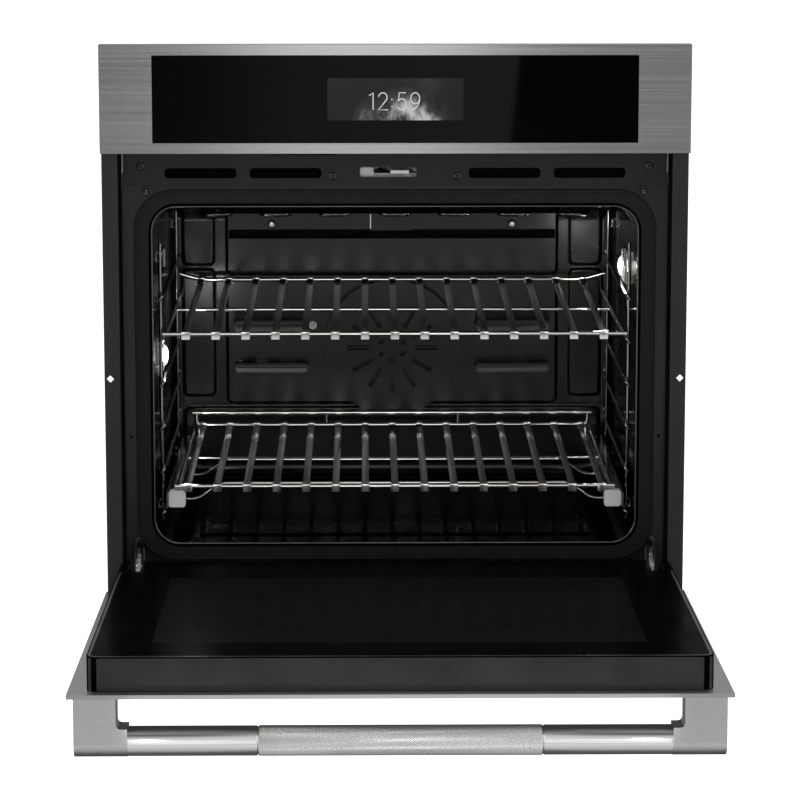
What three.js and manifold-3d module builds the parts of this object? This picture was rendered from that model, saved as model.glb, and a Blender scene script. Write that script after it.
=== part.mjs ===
// Built-in single wall oven with its door folded down. Millimetres, +Z up.
// X runs to the right, Y into the cabinet and Z up. The origin is on the centreline of the
// underside of the base pan, in the plane of the cabinet's face (the back of the side trims).
import * as THREE from "three";
import { mergeVertices } from "three/addons/utils/BufferGeometryUtils.js";
import Module from "manifold-3d";

const wasm = await Module();
wasm.setup();

// ---- driving dimensions ----
const WIDTH = 762; // fascia, door skin and bottom trim
const HEIGHT = 741; // underside of the base pan to the top of the fascia
const FACE_Y = -24; // front of the fascia and of the closed door
const FASCIA_H = 140;
const GLASS_W = 625;
const GLASS_H = 112;
const BACK_Y = 591; // depth behind the cabinet face
const CHASSIS_TOP = 695.4; // the panel stands above it
const CHASSIS_HALF = 358.5;
const FRAME_Y = 26; // front of the pressed front frame
const SHEET = 2;
const GAP = 0.3;
const CAVITY_HALF = 318;
const CAVITY_Z0 = 77.5;
const CAVITY_Z1 = 526.5;
const CAVITY_BACK_Y = 498;
const CAVITY_R = 32;
const GASKET_HALF = 342;
const SEAM_Z = 554; // where the front frame meets the upper bay
const BAY_RISE = 11; // the upper bay is drawn this much lower than it stands
const DOOR_Z0 = 25;
const DOOR_Z1 = 596;
const SKIN_T = 4.8;
const LINER_HALF = 359.5;
const LINER_Z1 = 579;
const LINER_BACK_Y = 21;
const HINGE_Y = -20.5;
const HINGE_Z = 21.5;
const HINGE_X = 340;
const DOOR_OPEN_DEG = 88.2;
const HANDLE_R = 17.4;
const HANDLE_Y = -78.2;
const HANDLE_Z = 573;
const HANDLE_END_R = 17.8;
const RACK_FRONT_Y = 56;
const RACK_BACK_Y = 462;
const UPPER_RACK_Z = 353;
const LOWER_RACK_Z = 147;
const UPPER_REAR_RISE = 16; // the rear rail stands this much above the front one
const LOWER_REAR_RISE = 7;
const LOWER_REAR_STOP = 25;
const UPPER_MID_Y = 292;
const LOWER_MID_Y = 260;
const GLIDE_WIRES_Y = [85, 247];
const SLATS = 15;
const LEVEL_Z0 = 115;
const LEVEL_PITCH = 58.1;
const LEVELS = 6;
const FAN_Z = 267;
const BROIL_LEGS = 14;
const BROIL_PITCH = 39.5;
const BROIL_Z = 510;
const SENSOR_X = -116;
const SENSOR_Z = 297;
const BLOWER_Y = 440;
const BLOWER_Z = 619;

// ---- finishes: colour, roughness and metalness ----
function finish(color, roughness, metalness) {
  return new THREE.MeshStandardMaterial({ color, roughness, metalness });
}
const STEEL = finish(0xb9bbbd, 0.34, 1);
const BRIGHT = finish(0xd4d5d6, 0.24, 1);
const CHROME = finish(0xe2e4e6, 0.12, 1);
const ENAMEL = finish(0x161617, 0.12, 0);
const CHARCOAL = finish(0x3a3b3d, 0.42, 0.3);
const GALVANISED = finish(0x9a9ea2, 0.45, 0.9);
const GLASS = finish(0x08090a, 0.04, 0);
const LENS = finish(0xe8e8e0, 0.08, 0);
const RUBBER = finish(0x141414, 0.7, 0);
const PLASTIC = finish(0x1a1a1b, 0.5, 0);
const CAP = finish(0xcfcfcc, 0.4, 0.2);
const WOOL = finish(0xd9d2b0, 0.95, 0);
const BOARD = finish(0x2d5a3a, 0.6, 0);
const SHEATH = finish(0x4a4a48, 0.6, 0.5);

// ---- shape helpers ----
function signedVolume(pos, tri) {
  let v = 0;
  const a = new THREE.Vector3();
  const b = new THREE.Vector3();
  const c = new THREE.Vector3();
  for (let i = 0; i < tri.length; i += 3) {
    a.fromArray(pos, tri[i] * 3);
    b.fromArray(pos, tri[i + 1] * 3);
    c.fromArray(pos, tri[i + 2] * 3);
    v += a.dot(b.cross(c));
  }
  return v;
}

// A closed three.js geometry as a solid, turned outward if its faces point in.
function solid(geometry) {
  const flat = geometry.index ? geometry.toNonIndexed() : geometry.clone();
  const bare = new THREE.BufferGeometry();
  bare.setAttribute("position", flat.getAttribute("position"));
  const merged = mergeVertices(bare, 1e-4);
  const pos = merged.attributes.position.array;
  const tri = new Uint32Array(merged.index.array);
  if (signedVolume(pos, tri) < 0) {
    for (let i = 0; i < tri.length; i += 3) {
      const keep = tri[i + 1];
      tri[i + 1] = tri[i + 2];
      tri[i + 2] = keep;
    }
  }
  const mesh = new wasm.Mesh({ numProp: 3, vertProperties: pos, triVerts: tri });
  return new wasm.Manifold(mesh);
}

function box(x0, x1, y0, y1, z0, z1) {
  const g = new THREE.BoxGeometry(x1 - x0, y1 - y0, z1 - z0);
  g.translate((x0 + x1) / 2, (y0 + y1) / 2, (z0 + z1) / 2);
  return solid(g);
}

function join(pieces) {
  return pieces.reduce((all, piece) => all.add(piece));
}

function cut(body, pieces) {
  return pieces.reduce((left, piece) => left.subtract(piece), body);
}

// An outline in the two other axes, pulled from a to b along the named axis.
// Outline pairs are (x, y) for z, (x, z) for y and (y, z) for x.
function prism(axis, outline, a, b) {
  const shape = new THREE.Shape(outline.map((p) => new THREE.Vector2(p[0], p[1])));
  const g = new THREE.ExtrudeGeometry(shape, { depth: b - a, bevelEnabled: false });
  const pos = g.getAttribute("position");
  for (let i = 0; i < pos.count; i++) {
    const u = pos.getX(i);
    const v = pos.getY(i);
    const w = pos.getZ(i) + a;
    if (axis === "z") pos.setXYZ(i, u, v, w);
    if (axis === "y") pos.setXYZ(i, u, w, v);
    if (axis === "x") pos.setXYZ(i, w, u, v);
  }
  return solid(g);
}

function roundedOutline(u0, u1, v0, v1, r, steps = 4) {
  const out = [];
  const corners = [
    [u1 - r, v1 - r, 0],
    [u0 + r, v1 - r, 90],
    [u0 + r, v0 + r, 180],
    [u1 - r, v0 + r, 270],
  ];
  for (const [cu, cv, start] of corners) {
    for (let i = 0; i <= steps; i++) {
      const t = ((start + (90 * i) / steps) * Math.PI) / 180;
      out.push([cu + r * Math.cos(t), cv + r * Math.sin(t)]);
    }
  }
  return out;
}

function circleOutline(cu, cv, r, steps) {
  const out = [];
  for (let i = 0; i < steps; i++) {
    const t = (2 * Math.PI * i) / steps;
    out.push([cu + r * Math.cos(t), cv + r * Math.sin(t)]);
  }
  return out;
}

function disc(axis, cu, cv, r, a, b, steps = 20) {
  return prism(axis, circleOutline(cu, cv, r, steps), a, b);
}

// Rings of equal length joined in order, closed by flat ends or into a loop.
function skinRings(rings, loop) {
  const n = rings[0].length;
  const pos = [];
  const tri = [];
  for (const ring of rings) {
    for (const p of ring) pos.push(p.x, p.y, p.z);
  }
  const last = loop ? rings.length : rings.length - 1;
  for (let i = 0; i < last; i++) {
    const a = i * n;
    const b = ((i + 1) % rings.length) * n;
    for (let j = 0; j < n; j++) {
      const k = (j + 1) % n;
      tri.push(a + j, a + k, b + k, a + j, b + k, b + j);
    }
  }
  if (!loop) {
    const end = (rings.length - 1) * n;
    for (let j = 1; j < n - 1; j++) {
      tri.push(0, j + 1, j);
      tri.push(end, end + j, end + j + 1);
    }
  }
  const g = new THREE.BufferGeometry();
  g.setAttribute("position", new THREE.Float32BufferAttribute(pos, 3));
  g.setIndex(tri);
  return solid(g);
}

// A round wire through the points, mitred at each of them.
function wire(points, r, sides = 6, loop = false) {
  const pts = points.map((p) => new THREE.Vector3(p[0], p[1], p[2]));
  const count = pts.length;
  const tangent = (i) => {
    const before = loop ? pts[(i + count - 1) % count] : pts[Math.max(i - 1, 0)];
    const after = loop ? pts[(i + 1) % count] : pts[Math.min(i + 1, count - 1)];
    return after.clone().sub(before).normalize();
  };
  const first = tangent(0);
  let normal = new THREE.Vector3(0, 0, 1);
  if (Math.abs(first.z) > 0.9) normal = new THREE.Vector3(0, 1, 0);
  const rings = [];
  for (let i = 0; i < count; i++) {
    const t = tangent(i);
    normal = normal.clone().addScaledVector(t, -normal.dot(t)).normalize();
    const side = new THREE.Vector3().crossVectors(t, normal);
    const ring = [];
    for (let j = 0; j < sides; j++) {
      const angle = (2 * Math.PI * (j + 0.5)) / sides;
      const p = pts[i].clone();
      p.addScaledVector(normal, r * Math.cos(angle));
      p.addScaledVector(side, r * Math.sin(angle));
      ring.push(p);
    }
    rings.push(ring);
  }
  return skinRings(rings, loop);
}

// The path with each inner corner replaced by a short arc.
function bend(path, radius, steps = 3) {
  const out = [path[0]];
  for (let i = 1; i < path.length - 1; i++) {
    const p = new THREE.Vector3(...path[i]);
    const a = new THREE.Vector3(...path[i - 1]).sub(p);
    const b = new THREE.Vector3(...path[i + 1]).sub(p);
    const reach = Math.min(radius, a.length() * 0.49, b.length() * 0.49);
    const start = p.clone().addScaledVector(a.normalize(), reach);
    const stop = p.clone().addScaledVector(b.normalize(), reach);
    for (let k = 0; k <= steps; k++) {
      const t = k / steps;
      const q = start.clone().multiplyScalar((1 - t) * (1 - t));
      q.addScaledVector(p, 2 * t * (1 - t));
      q.addScaledVector(stop, t * t);
      out.push([q.x, q.y, q.z]);
    }
  }
  out.push(path[path.length - 1]);
  return out;
}

// A group whose own frame stands at a point of the oven, such as a hinge line.
function groupAt(name, x, y, z, parent) {
  const group = new THREE.Group();
  group.name = name;
  group.position.set(x, y, z);
  group.userData.drawnFrom = new THREE.Vector3(x, y, z);
  if (parent) parent.add(group);
  return group;
}

const oven = groupAt("wall_oven", 0, 0, 0, null);
const chassis = groupAt("chassis", 0, 0, 0, oven);
const upperBay = groupAt("upper_bay", 0, 0, SEAM_Z - BAY_RISE, oven);
upperBay.position.z = SEAM_Z;
const cavity = groupAt("cavity", 0, FRAME_Y, CAVITY_Z0, oven);
const upperShelf = groupAt("upper_shelf", 0, RACK_FRONT_Y, UPPER_RACK_Z, oven);
const lowerShelf = groupAt("lower_shelf", 0, RACK_FRONT_Y, LOWER_RACK_Z, oven);
const door = groupAt("door", 0, HINGE_Y, HINGE_Z, oven);
door.rotation.x = (DOOR_OPEN_DEG * Math.PI) / 180;

// The body is drawn where it stands in the oven and handed to its group's frame.
function place(name, body, material, group = chassis) {
  const m = body.getMesh();
  const v = new Float32Array(m.numVert * 3);
  for (let i = 0; i < m.numVert; i++) {
    v.set(m.vertProperties.subarray(i * m.numProp, i * m.numProp + 3), i * 3);
  }
  const g = new THREE.BufferGeometry();
  g.setAttribute("position", new THREE.BufferAttribute(v, 3));
  g.setIndex(new THREE.BufferAttribute(m.triVerts, 1));
  g.computeVertexNormals();
  const mesh = new THREE.Mesh(g, material.clone());
  mesh.name = name;
  mesh.position.copy(group.userData.drawnFrom).negate();
  group.add(mesh);
}

const mirrorX = (body) => body.scale([-1, 1, 1]);

function placePair(name, rightBody, material, group = chassis) {
  place(name + "_right", rightBody, material, group);
  place(name + "_left", mirrorX(rightBody), material, group);
}

// ---- chassis ----
const BASE_HALF = CHASSIS_HALF - 2.3;
const SIDE_TOP = CHASSIS_TOP - 2.4;
const basePan = join([
  box(-BASE_HALF, BASE_HALF, -6, 588, 0, SHEET),
  box(-BASE_HALF, BASE_HALF, -6, -4, 0, 12),
  box(-BASE_HALF, BASE_HALF, 586, 588, 0, 20),
  box(-BASE_HALF, -BASE_HALF + SHEET, -6, 588, 0, 16),
  box(BASE_HALF - SHEET, BASE_HALF, -6, 588, 0, 16),
  box(-300, -280, 60, 540, 1, 6),
  box(-110, -90, 60, 540, 1, 6),
  box(90, 110, 60, 540, 1, 6),
  box(280, 300, 60, 540, 1, 6),
]);
place("base_pan", basePan, GALVANISED);

function sidePanel() {
  const sheet = join([
    box(CHASSIS_HALF - SHEET, CHASSIS_HALF, 28.4, 588.6, 0.6, SIDE_TOP),
    box(CHASSIS_HALF - 14, CHASSIS_HALF, 28.4, 588.6, SIDE_TOP - 2, SIDE_TOP),
    box(CHASSIS_HALF - 16, CHASSIS_HALF, 28.4, 30.4, 571, SIDE_TOP),
  ]);
  const slots = [];
  for (let i = 0; i < 6; i++) {
    const y = 330 + i * 36;
    slots.push(box(350, 360, y, y + 22, 631, 637));
    slots.push(box(350, 360, y, y + 22, 655, 661));
  }
  const fold = box(CHASSIS_HALF - 16.1, CHASSIS_HALF - 13.9, 28, 31, 570, SIDE_TOP + 1);
  return cut(sheet, slots.concat([fold]));
}
placePair("side_panel", sidePanel(), GALVANISED);

// The cover's front edge turns up behind the panel and closes its back.
const topCover = cut(
  join([
    box(-CHASSIS_HALF, CHASSIS_HALF, 6, 588.6, CHASSIS_TOP - 2, CHASSIS_TOP),
    box(-300, 300, 120, 128, CHASSIS_TOP - 0.4, CHASSIS_TOP + 2.6),
    box(-300, 300, 300, 308, CHASSIS_TOP - 0.4, CHASSIS_TOP + 2.6),
    box(-CHASSIS_HALF, CHASSIS_HALF, 9, 11, CHASSIS_TOP - 10, CHASSIS_TOP),
    box(-376, 376, 9, 11, CHASSIS_TOP - 90, HEIGHT - 2),
    box(-376, 376, 0.5, 11, HEIGHT - 4, HEIGHT - 2),
    box(-376, -374, 0.5, 11, CHASSIS_TOP - 90, HEIGHT - 2),
    box(374, 376, 0.5, 11, CHASSIS_TOP - 90, HEIGHT - 2),
  ]),
  [
    disc("z", -250, 520, 14, CHASSIS_TOP - 8, CHASSIS_TOP + 4, 16),
    box(-356, 356, 8, 12, 500, CHASSIS_TOP - 12),
  ],
);
place("top_cover", topCover, GALVANISED);

function backPanel() {
  let sheet = box(-CHASSIS_HALF, CHASSIS_HALF, 589, BACK_Y, 0.6, CHASSIS_TOP);
  const holes = [];
  for (let i = 0; i < 5; i++) {
    holes.push(box(-60, 60, 585, 595, FAN_Z - 44 + i * 20, FAN_Z - 36 + i * 20));
  }
  for (let i = 0; i < 8; i++) {
    holes.push(box(-220 + i * 56, -184 + i * 56, 585, 595, 640, 647));
  }
  sheet = sheet.subtract(box(-330, 330, 590.2, 595, 60, 190));
  return cut(sheet, holes);
}
place("back_panel", backPanel(), GALVANISED);

function insulation() {
  const outer = prism("y", roundedOutline(-350, 350, 44, 556.5, 30, 3), 40, 575);
  const inner = prism("y", roundedOutline(-321, 321, 57, 529.5, 30, 3), 30, 514);
  const lamps = [
    box(-360, -300, 92, 168, 284, 342),
    box(300, 360, 142, 218, 398, 456),
    disc("y", 0, FAN_Z, 52, 500, 580, 16),
    box(HINGE_X - 14, 360, 30, 100, 40, 110),
    box(-360, -HINGE_X + 14, 30, 100, 40, 110),
  ];
  return cut(outer, [inner].concat(lamps));
}
place("insulation_wrap", insulation(), WOOL);

function frontFrame() {
  let sheet = join([
    box(-CHASSIS_HALF, CHASSIS_HALF, FRAME_Y, FRAME_Y + SHEET, 17, SEAM_Z - GAP),
    box(-354, 354, 10, FRAME_Y + 1, 17, 19),
    box(-352, 352, FRAME_Y - 1.2, FRAME_Y + 1, 43, 46),
  ]);
  const holes = [
    prism("y", roundedOutline(-320.4, 320.4, CAVITY_Z0 - 2.4, CAVITY_Z1 + 2.4, 34.4, 5), 0, 60),
    box(HINGE_X - 7, HINGE_X + 7, 0, 60, 36, 70),
    box(-HINGE_X - 7, -HINGE_X + 7, 0, 60, 36, 70),
  ];
  for (const s of [-1, 1]) {
    sheet = sheet.add(disc("y", s * 348.4, 221, 4.6, FRAME_Y - 1.4, FRAME_Y + 1, 14));
    holes.push(disc("y", s * 348.4, 221, 2.6, 0, 60, 10));
    holes.push(disc("y", s * 325.5, 545.9, 3.4, 0, 60, 10));
  }
  return cut(sheet, holes);
}
place("front_frame", frontFrame(), ENAMEL);

const SCREWS = [
  [-332, 569],
  [332, 569],
  [-81.5, 556],
  [81.5, 556],
];

// Each screw is a low dome with a shank through the trim.
function ventScrew(x, z, seatY) {
  const rings = [
    [2.2, 31],
    [2.2, seatY],
    [5, seatY],
    [4.6, seatY - 1.8],
    [2.8, seatY - 2.8],
  ];
  const round = (r, y) => circleOutline(x, z, r, 10).map((p) => new THREE.Vector3(p[0], y, p[1]));
  return skinRings(rings.map(([r, y]) => round(r, y)), false);
}

function ventTrim() {
  const sheet = join([
    box(-355, 355, FRAME_Y - SHEET, FRAME_Y, 543.1, 588),
    box(-355, 355, FRAME_Y - 2.8, FRAME_Y - 1, 576, 588),
    box(-340, 340, FRAME_Y - 1, 60, 586, 588),
  ]);
  const holes = [];
  for (const [x0, x1] of [
    [-301, -207],
    [-190, -96],
    [96, 190],
    [207, 301],
  ]) {
    holes.push(prism("y", roundedOutline(x0, x1, 553, 566.5, 5, 3), 10, 40));
  }
  holes.push(prism("y", roundedOutline(-46, 28, 554.5, 567.5, 3, 2), 10, 40));
  holes.push(box(-159, -74, 10, 40, 583.5, 590));
  const screws = SCREWS.map(([x, z]) => ventScrew(x, z, FRAME_Y - SHEET + 0.2));
  return join([cut(sheet, holes)].concat(screws));
}
place("vent_trim", ventTrim(), ENAMEL, upperBay);

const bottomTrim = join([
  box(-WIDTH / 2, WIDTH / 2, -22, -20.4, 1, 15),
  box(-WIDTH / 2, WIDTH / 2, -22, -7, 13.4, 15),
  box(-BASE_HALF, BASE_HALF, -8, -6.4, 3, 15),
]);
place("bottom_trim", bottomTrim, CHARCOAL);

function sideTrim() {
  const outline = [
    [360.2, -2.2],
    [361, -3],
    [380, -3],
    [381, -2],
    [381, 0],
    [362, 0],
    [362, 24.2],
    [356.6, 24.2],
    [356.6, 22.6],
    [360.2, 22.6],
  ];
  const strip = prism("z", outline, 16.4, HEIGHT - FASCIA_H - 0.4);
  const d = 4.9;
  const diamond = [
    [373.3 - d, 303],
    [373.3, 303 - d],
    [373.3 + d, 303],
    [373.3, 303 + d],
  ];
  return strip.subtract(prism("y", diamond, -10, 10));
}
placePair("side_trim", sideTrim(), CHARCOAL);

// ---- control panel ----
const FASCIA_Z0 = HEIGHT - BAY_RISE - FASCIA_H;
const FASCIA_Z1 = FASCIA_Z0 + FASCIA_H;
const GLASS_Z0 = FASCIA_Z0 + (FASCIA_H - GLASS_H) / 2;
const GLASS_Z1 = GLASS_Z0 + GLASS_H;

function fascia() {
  const outer = box(-WIDTH / 2, WIDTH / 2, FACE_Y, 0, FASCIA_Z0, FASCIA_Z1);
  const hollow = box(-379, 379, FACE_Y + 2, 10, FASCIA_Z0 + 2, FASCIA_Z1 - 2);
  const shelf = box(-356, 356, -4, 22.4, FASCIA_Z0, FASCIA_Z0 + 2);
  const half = GLASS_W / 2 + 0.5;
  const window = box(-half, half, -40, -10, GLASS_Z0 - 0.5, GLASS_Z1 + 0.5);
  return outer.subtract(hollow).add(shelf).subtract(window);
}
place("control_fascia", fascia(), STEEL, upperBay);

const glassOutline = roundedOutline(-GLASS_W / 2, GLASS_W / 2, GLASS_Z0, GLASS_Z1, 1.5, 2);
place("panel_glass", prism("y", glassOutline, FACE_Y - 0.6, FACE_Y + 2.4), GLASS, upperBay);

const holder = cut(box(-340, 340, FACE_Y + 2.8, -10, 596, 724), [
  box(-92, 92, -30, 0, 628, 692),
  box(-330, -110, -17, 0, 606, 714),
  box(110, 330, -17, 0, 606, 714),
]);
place("panel_holder", holder, PLASTIC, upperBay);
place("display_module", box(-90, 90, FACE_Y + 2.8, -9, 630, 690), PLASTIC, upperBay);

const board = join([
  box(-130, 130, -8.6, -7, 612, 708),
  box(-60, -20, -7.5, 2, 640, 670),
  box(10, 34, -7.5, 3, 650, 674),
  box(60, 110, -7.5, 6, 624, 640),
  box(-118, -90, -7.5, 8, 690, 704),
]);
place("control_board", board, BOARD, upperBay);

// ---- compartment above the cavity ----
function blowerHousing() {
  const outline = [];
  for (let i = 0; i <= 14; i++) {
    const t = ((-90 + i * 20) * Math.PI) / 180;
    const r = 70 - i * 1.1;
    outline.push([BLOWER_Y + r * Math.cos(t), BLOWER_Z + r * Math.sin(t)]);
  }
  outline.push([BLOWER_Y - 62, BLOWER_Z - 20]);
  outline.push([300, BLOWER_Z - 40]);
  outline.push([300, BLOWER_Z - 70]);
  const outer = prism("x", outline, -90, 90);
  const inner = [];
  for (let i = 0; i <= 14; i++) {
    const t = ((-90 + i * 20) * Math.PI) / 180;
    const r = 68 - i * 1.1;
    inner.push([BLOWER_Y + r * Math.cos(t), BLOWER_Z + r * Math.sin(t)]);
  }
  inner.push([BLOWER_Y - 60, BLOWER_Z - 23]);
  inner.push([290, BLOWER_Z - 42]);
  inner.push([290, BLOWER_Z - 68]);
  return cut(outer, [
    prism("x", inner, -88, 88),
    disc("x", BLOWER_Y, BLOWER_Z, 34, -100, 100, 16),
  ]);
}
place("blower_housing", blowerHousing(), GALVANISED, upperBay);

function blowerWheel() {
  const pieces = [
    disc("x", BLOWER_Y, BLOWER_Z, 4, -84, 96, 10),
    disc("x", BLOWER_Y, BLOWER_Z, 40, -1.5, 1.5, 10),
  ];
  for (let i = 0; i < 10; i++) {
    const blade = box(-70, 70, BLOWER_Y - 1.2, BLOWER_Y + 1.2, BLOWER_Z + 36, BLOWER_Z + 47);
    const moved = blade.translate([0, -BLOWER_Y, -BLOWER_Z]).rotate([(i * 360) / 10, 0, 0]);
    pieces.push(moved.translate([0, BLOWER_Y, BLOWER_Z]));
  }
  for (const x of [-70, 68]) {
    const ring = disc("x", BLOWER_Y, BLOWER_Z, 48, x, x + 2, 10);
    pieces.push(ring.subtract(disc("x", BLOWER_Y, BLOWER_Z, 35, x - 5, x + 7, 10)));
  }
  return join(pieces);
}
place("blower_wheel", blowerWheel(), STEEL, upperBay);

const blowerMotor = cut(
  join([
    disc("x", BLOWER_Y, BLOWER_Z, 30, 92, 140, 16),
    box(96, 132, BLOWER_Y - 20, BLOWER_Y + 20, 548, BLOWER_Z),
    box(92, 150, BLOWER_Y - 40, BLOWER_Y + 40, 547, 549),
  ]),
  [disc("x", BLOWER_Y, BLOWER_Z, 4.6, 80, 110, 10)],
);
place("blower_motor", blowerMotor, CHARCOAL, upperBay);

const relayBoard = join([
  box(180, 330, 90, 290, 560, 562),
  box(186, 190, 96, 100, 547, 561),
  box(320, 324, 280, 284, 547, 561),
  box(186, 190, 280, 284, 547, 561),
  box(320, 324, 96, 100, 547, 561),
  box(200, 226, 110, 134, 561, 582),
  box(240, 266, 110, 134, 561, 582),
  box(280, 306, 110, 134, 561, 582),
  box(210, 260, 190, 250, 561, 606),
]);
place("relay_board", relayBoard, BOARD, upperBay);

const inletPlate = cut(
  join([
    box(-290, -210, 490, 550, CHASSIS_TOP + 0.4, CHASSIS_TOP + 2.4),
    disc("z", -250, 520, 18, CHASSIS_TOP + 2, CHASSIS_TOP + 7, 16),
    disc("z", -250, 520, 13, CHASSIS_TOP - 10, CHASSIS_TOP + 4, 16),
  ]),
  [disc("z", -250, 520, 10.5, CHASSIS_TOP - 20, CHASSIS_TOP + 20, 16)],
);
place("inlet_plate", inletPlate, GALVANISED);

// ---- cavity ----
const LAMPS = [
  { side: -1, y: 130, z: 313 },
  { side: 1, y: 180, z: 427 },
];

function cavityWrapper() {
  const o = CAVITY_HALF + 2;
  const h = CAVITY_HALF;
  const shell = prism(
    "y",
    roundedOutline(-o, o, CAVITY_Z0 - 2, CAVITY_Z1 + 2, CAVITY_R + 2, 5),
    22.8,
    CAVITY_BACK_Y,
  );
  const lip = prism(
    "y",
    roundedOutline(-o - 2.6, o + 2.6, CAVITY_Z0 - 4.6, CAVITY_Z1 + 4.6, CAVITY_R + 4.6, 5),
    22.8,
    FRAME_Y - GAP,
  );
  const hollow = prism(
    "y",
    roundedOutline(-h, h, CAVITY_Z0, CAVITY_Z1, CAVITY_R, 5),
    0,
    CAVITY_BACK_Y + 10,
  );
  let body = shell.add(lip).subtract(hollow);
  for (const lamp of LAMPS) {
    const outline = roundedOutline(lamp.y - 30.4, lamp.y + 30.4, lamp.z - 20.4, lamp.z + 20.4, 6, 2);
    const x0 = lamp.side < 0 ? -330 : 300;
    body = body.subtract(prism("x", outline, x0, x0 + 30));
  }
  // A shallow pressed step round the floor.
  const step = box(-262, 262, 70, 440, CAVITY_Z0 - 1, CAVITY_Z0 + 2.5);
  const dish = box(-250, 250, 82, 428, CAVITY_Z0, CAVITY_Z0 + 5);
  return body.add(step.subtract(dish));
}
place("cavity_wrapper", cavityWrapper(), ENAMEL, cavity);

function cavityBack() {
  const y0 = CAVITY_BACK_Y + GAP;
  const o = CAVITY_HALF + 2;
  const pieces = [
    prism("y", roundedOutline(-o, o, CAVITY_Z0 - 2, CAVITY_Z1 + 2, CAVITY_R + 2, 4), y0, y0 + 2),
    prism("y", roundedOutline(-240, 240, 94, 506, 16, 2), y0 - 4, y0 + 1),
  ];
  for (const s of [-1, 1]) {
    for (const [z0, z1] of [[296, 306.5], [233.5, 243]]) {
      const bead = roundedOutline(s * 176.5 - 55.5, s * 176.5 + 55.5, z0, z1, 4, 1);
      pieces.push(prism("y", bead, y0 - 6, y0));
    }
    pieces.push(box(s * 280 - 20, s * 280 + 20, y0 - 3, y0 + 1, 379, 383));
    pieces.push(box(s * 280 - 20, s * 280 + 20, y0 - 3, y0 + 1, 187, 191));
  }
  const holes = [
    disc("y", 0, FAN_Z, 8, y0 - 20, y0 + 20, 12),
    disc("y", SENSOR_X, SENSOR_Z, 4, y0 - 20, y0 + 20, 10),
  ];
  const exit = ((BROIL_LEGS - 1) * BROIL_PITCH) / 2;
  for (const x of [-exit, exit]) {
    holes.push(disc("y", x, BROIL_Z, 4.4, y0 - 20, y0 + 20, 10));
  }
  return cut(join(pieces), holes);
}
place("cavity_back", cavityBack(), ENAMEL, cavity);

// A hollow hood over the fan cover: a flat front with a chin that slopes back to the wall.
function backShield() {
  const shell = [[493.8, 463], [482, 463], [482, 440], [492, 424.6], [493.8, 424.6]];
  const hollow = [[496, 461], [484, 461], [484, 441], [491.6, 429.4], [496, 429.4]];
  const pieces = [prism("x", shell, -238, 238)];
  for (const x of [-175, 175]) {
    pieces.push(disc("y", x, 448, 5, 478.6, 482.8, 10));
  }
  return cut(join(pieces), [
    prism("x", hollow, -236, 236),
    box(-31, 31, 478, 483.2, 430, 458.5),
  ]);
}
place("back_shield", backShield(), ENAMEL, cavity);

const FAN_COVER_Y = 468;
function fanCover() {
  const wall = disc("y", 0, FAN_Z, 100, FAN_COVER_Y, 493.8, 28);
  const hollow = disc("y", 0, FAN_Z, 98, FAN_COVER_Y + 2, 500, 28);
  const holes = [hollow];
  for (let i = 0; i < 12; i++) {
    const slot = box(-3.5, 3.5, FAN_COVER_Y - 10, FAN_COVER_Y + 10, 34, 66);
    holes.push(slot.rotate([0, i * 30, 0]).translate([0, 0, FAN_Z]));
  }
  for (let i = 0; i < 6; i++) {
    const hole = disc("y", 0, 18, 4, FAN_COVER_Y - 10, FAN_COVER_Y + 10, 8);
    holes.push(hole.rotate([0, i * 60, 0]).translate([0, 0, FAN_Z]));
  }
  return cut(wall, holes);
}
place("fan_cover", fanCover(), ENAMEL, cavity);

function convectionFan() {
  const pieces = [
    disc("y", 0, FAN_Z, 4, 476, 522, 10),
    disc("y", 0, FAN_Z, 14, 476, 486, 12),
    disc("y", 0, FAN_Z, 70, 489, 490.2, 18),
    disc("y", 0, FAN_Z, 14, 485, 490, 12),
  ];
  for (let i = 0; i < 8; i++) {
    const blade = box(-0.8, 0.8, 475, 489.5, 12, 68);
    pieces.push(blade.rotate([0, i * 45, 0]).translate([0, 0, FAN_Z]));
  }
  return join(pieces);
}
place("convection_fan", convectionFan(), STEEL, cavity);

const convectionMotor = cut(
  join([
    disc("y", 0, FAN_Z, 42, 508, 560, 18),
    disc("y", 0, FAN_Z, 14, 501, 510, 12),
    box(-72, 72, 506, 509, FAN_Z - 10, FAN_Z + 10),
    box(-72, -66, 501, 508, FAN_Z - 10, FAN_Z + 10),
    box(66, 72, 501, 508, FAN_Z - 10, FAN_Z + 10),
  ]),
  [disc("y", 0, FAN_Z, 4.6, 490, 530, 10)],
);
place("convection_motor", convectionMotor, CHARCOAL, cavity);

// A flat run of tube that turns back on itself, its two ends leaving through the back wall.
function serpentine(legs, pitch, y0, y1, z, r, exitY) {
  const path = [];
  const half = ((legs - 1) * pitch) / 2;
  for (let i = 0; i < legs; i++) {
    const x = -half + i * pitch;
    const front = [x, y0, z];
    const back = [x, y1, z];
    if (i === 0) path.push([x, exitY, z], front);
    else if (i === legs - 1) path.push(front, [x, exitY, z]);
    else if (i % 2) path.push(front, back);
    else path.push(back, front);
  }
  return wire(bend(path, pitch * 0.49, 3), r, 5);
}
place("broil_element", serpentine(BROIL_LEGS, BROIL_PITCH, 80, 440, BROIL_Z, 3.3, 510), SHEATH, cavity);
place("bake_element", serpentine(4, 130, 90, 430, 65, 3.3, 508), SHEATH, cavity);

const sensor = join([
  disc("y", SENSOR_X, SENSOR_Z, 2.4, 470, 512, 10),
  disc("y", SENSOR_X, SENSOR_Z, 6, 491.4, 493.9, 10),
]);
place("temperature_sensor", sensor, CHROME, cavity);

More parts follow.
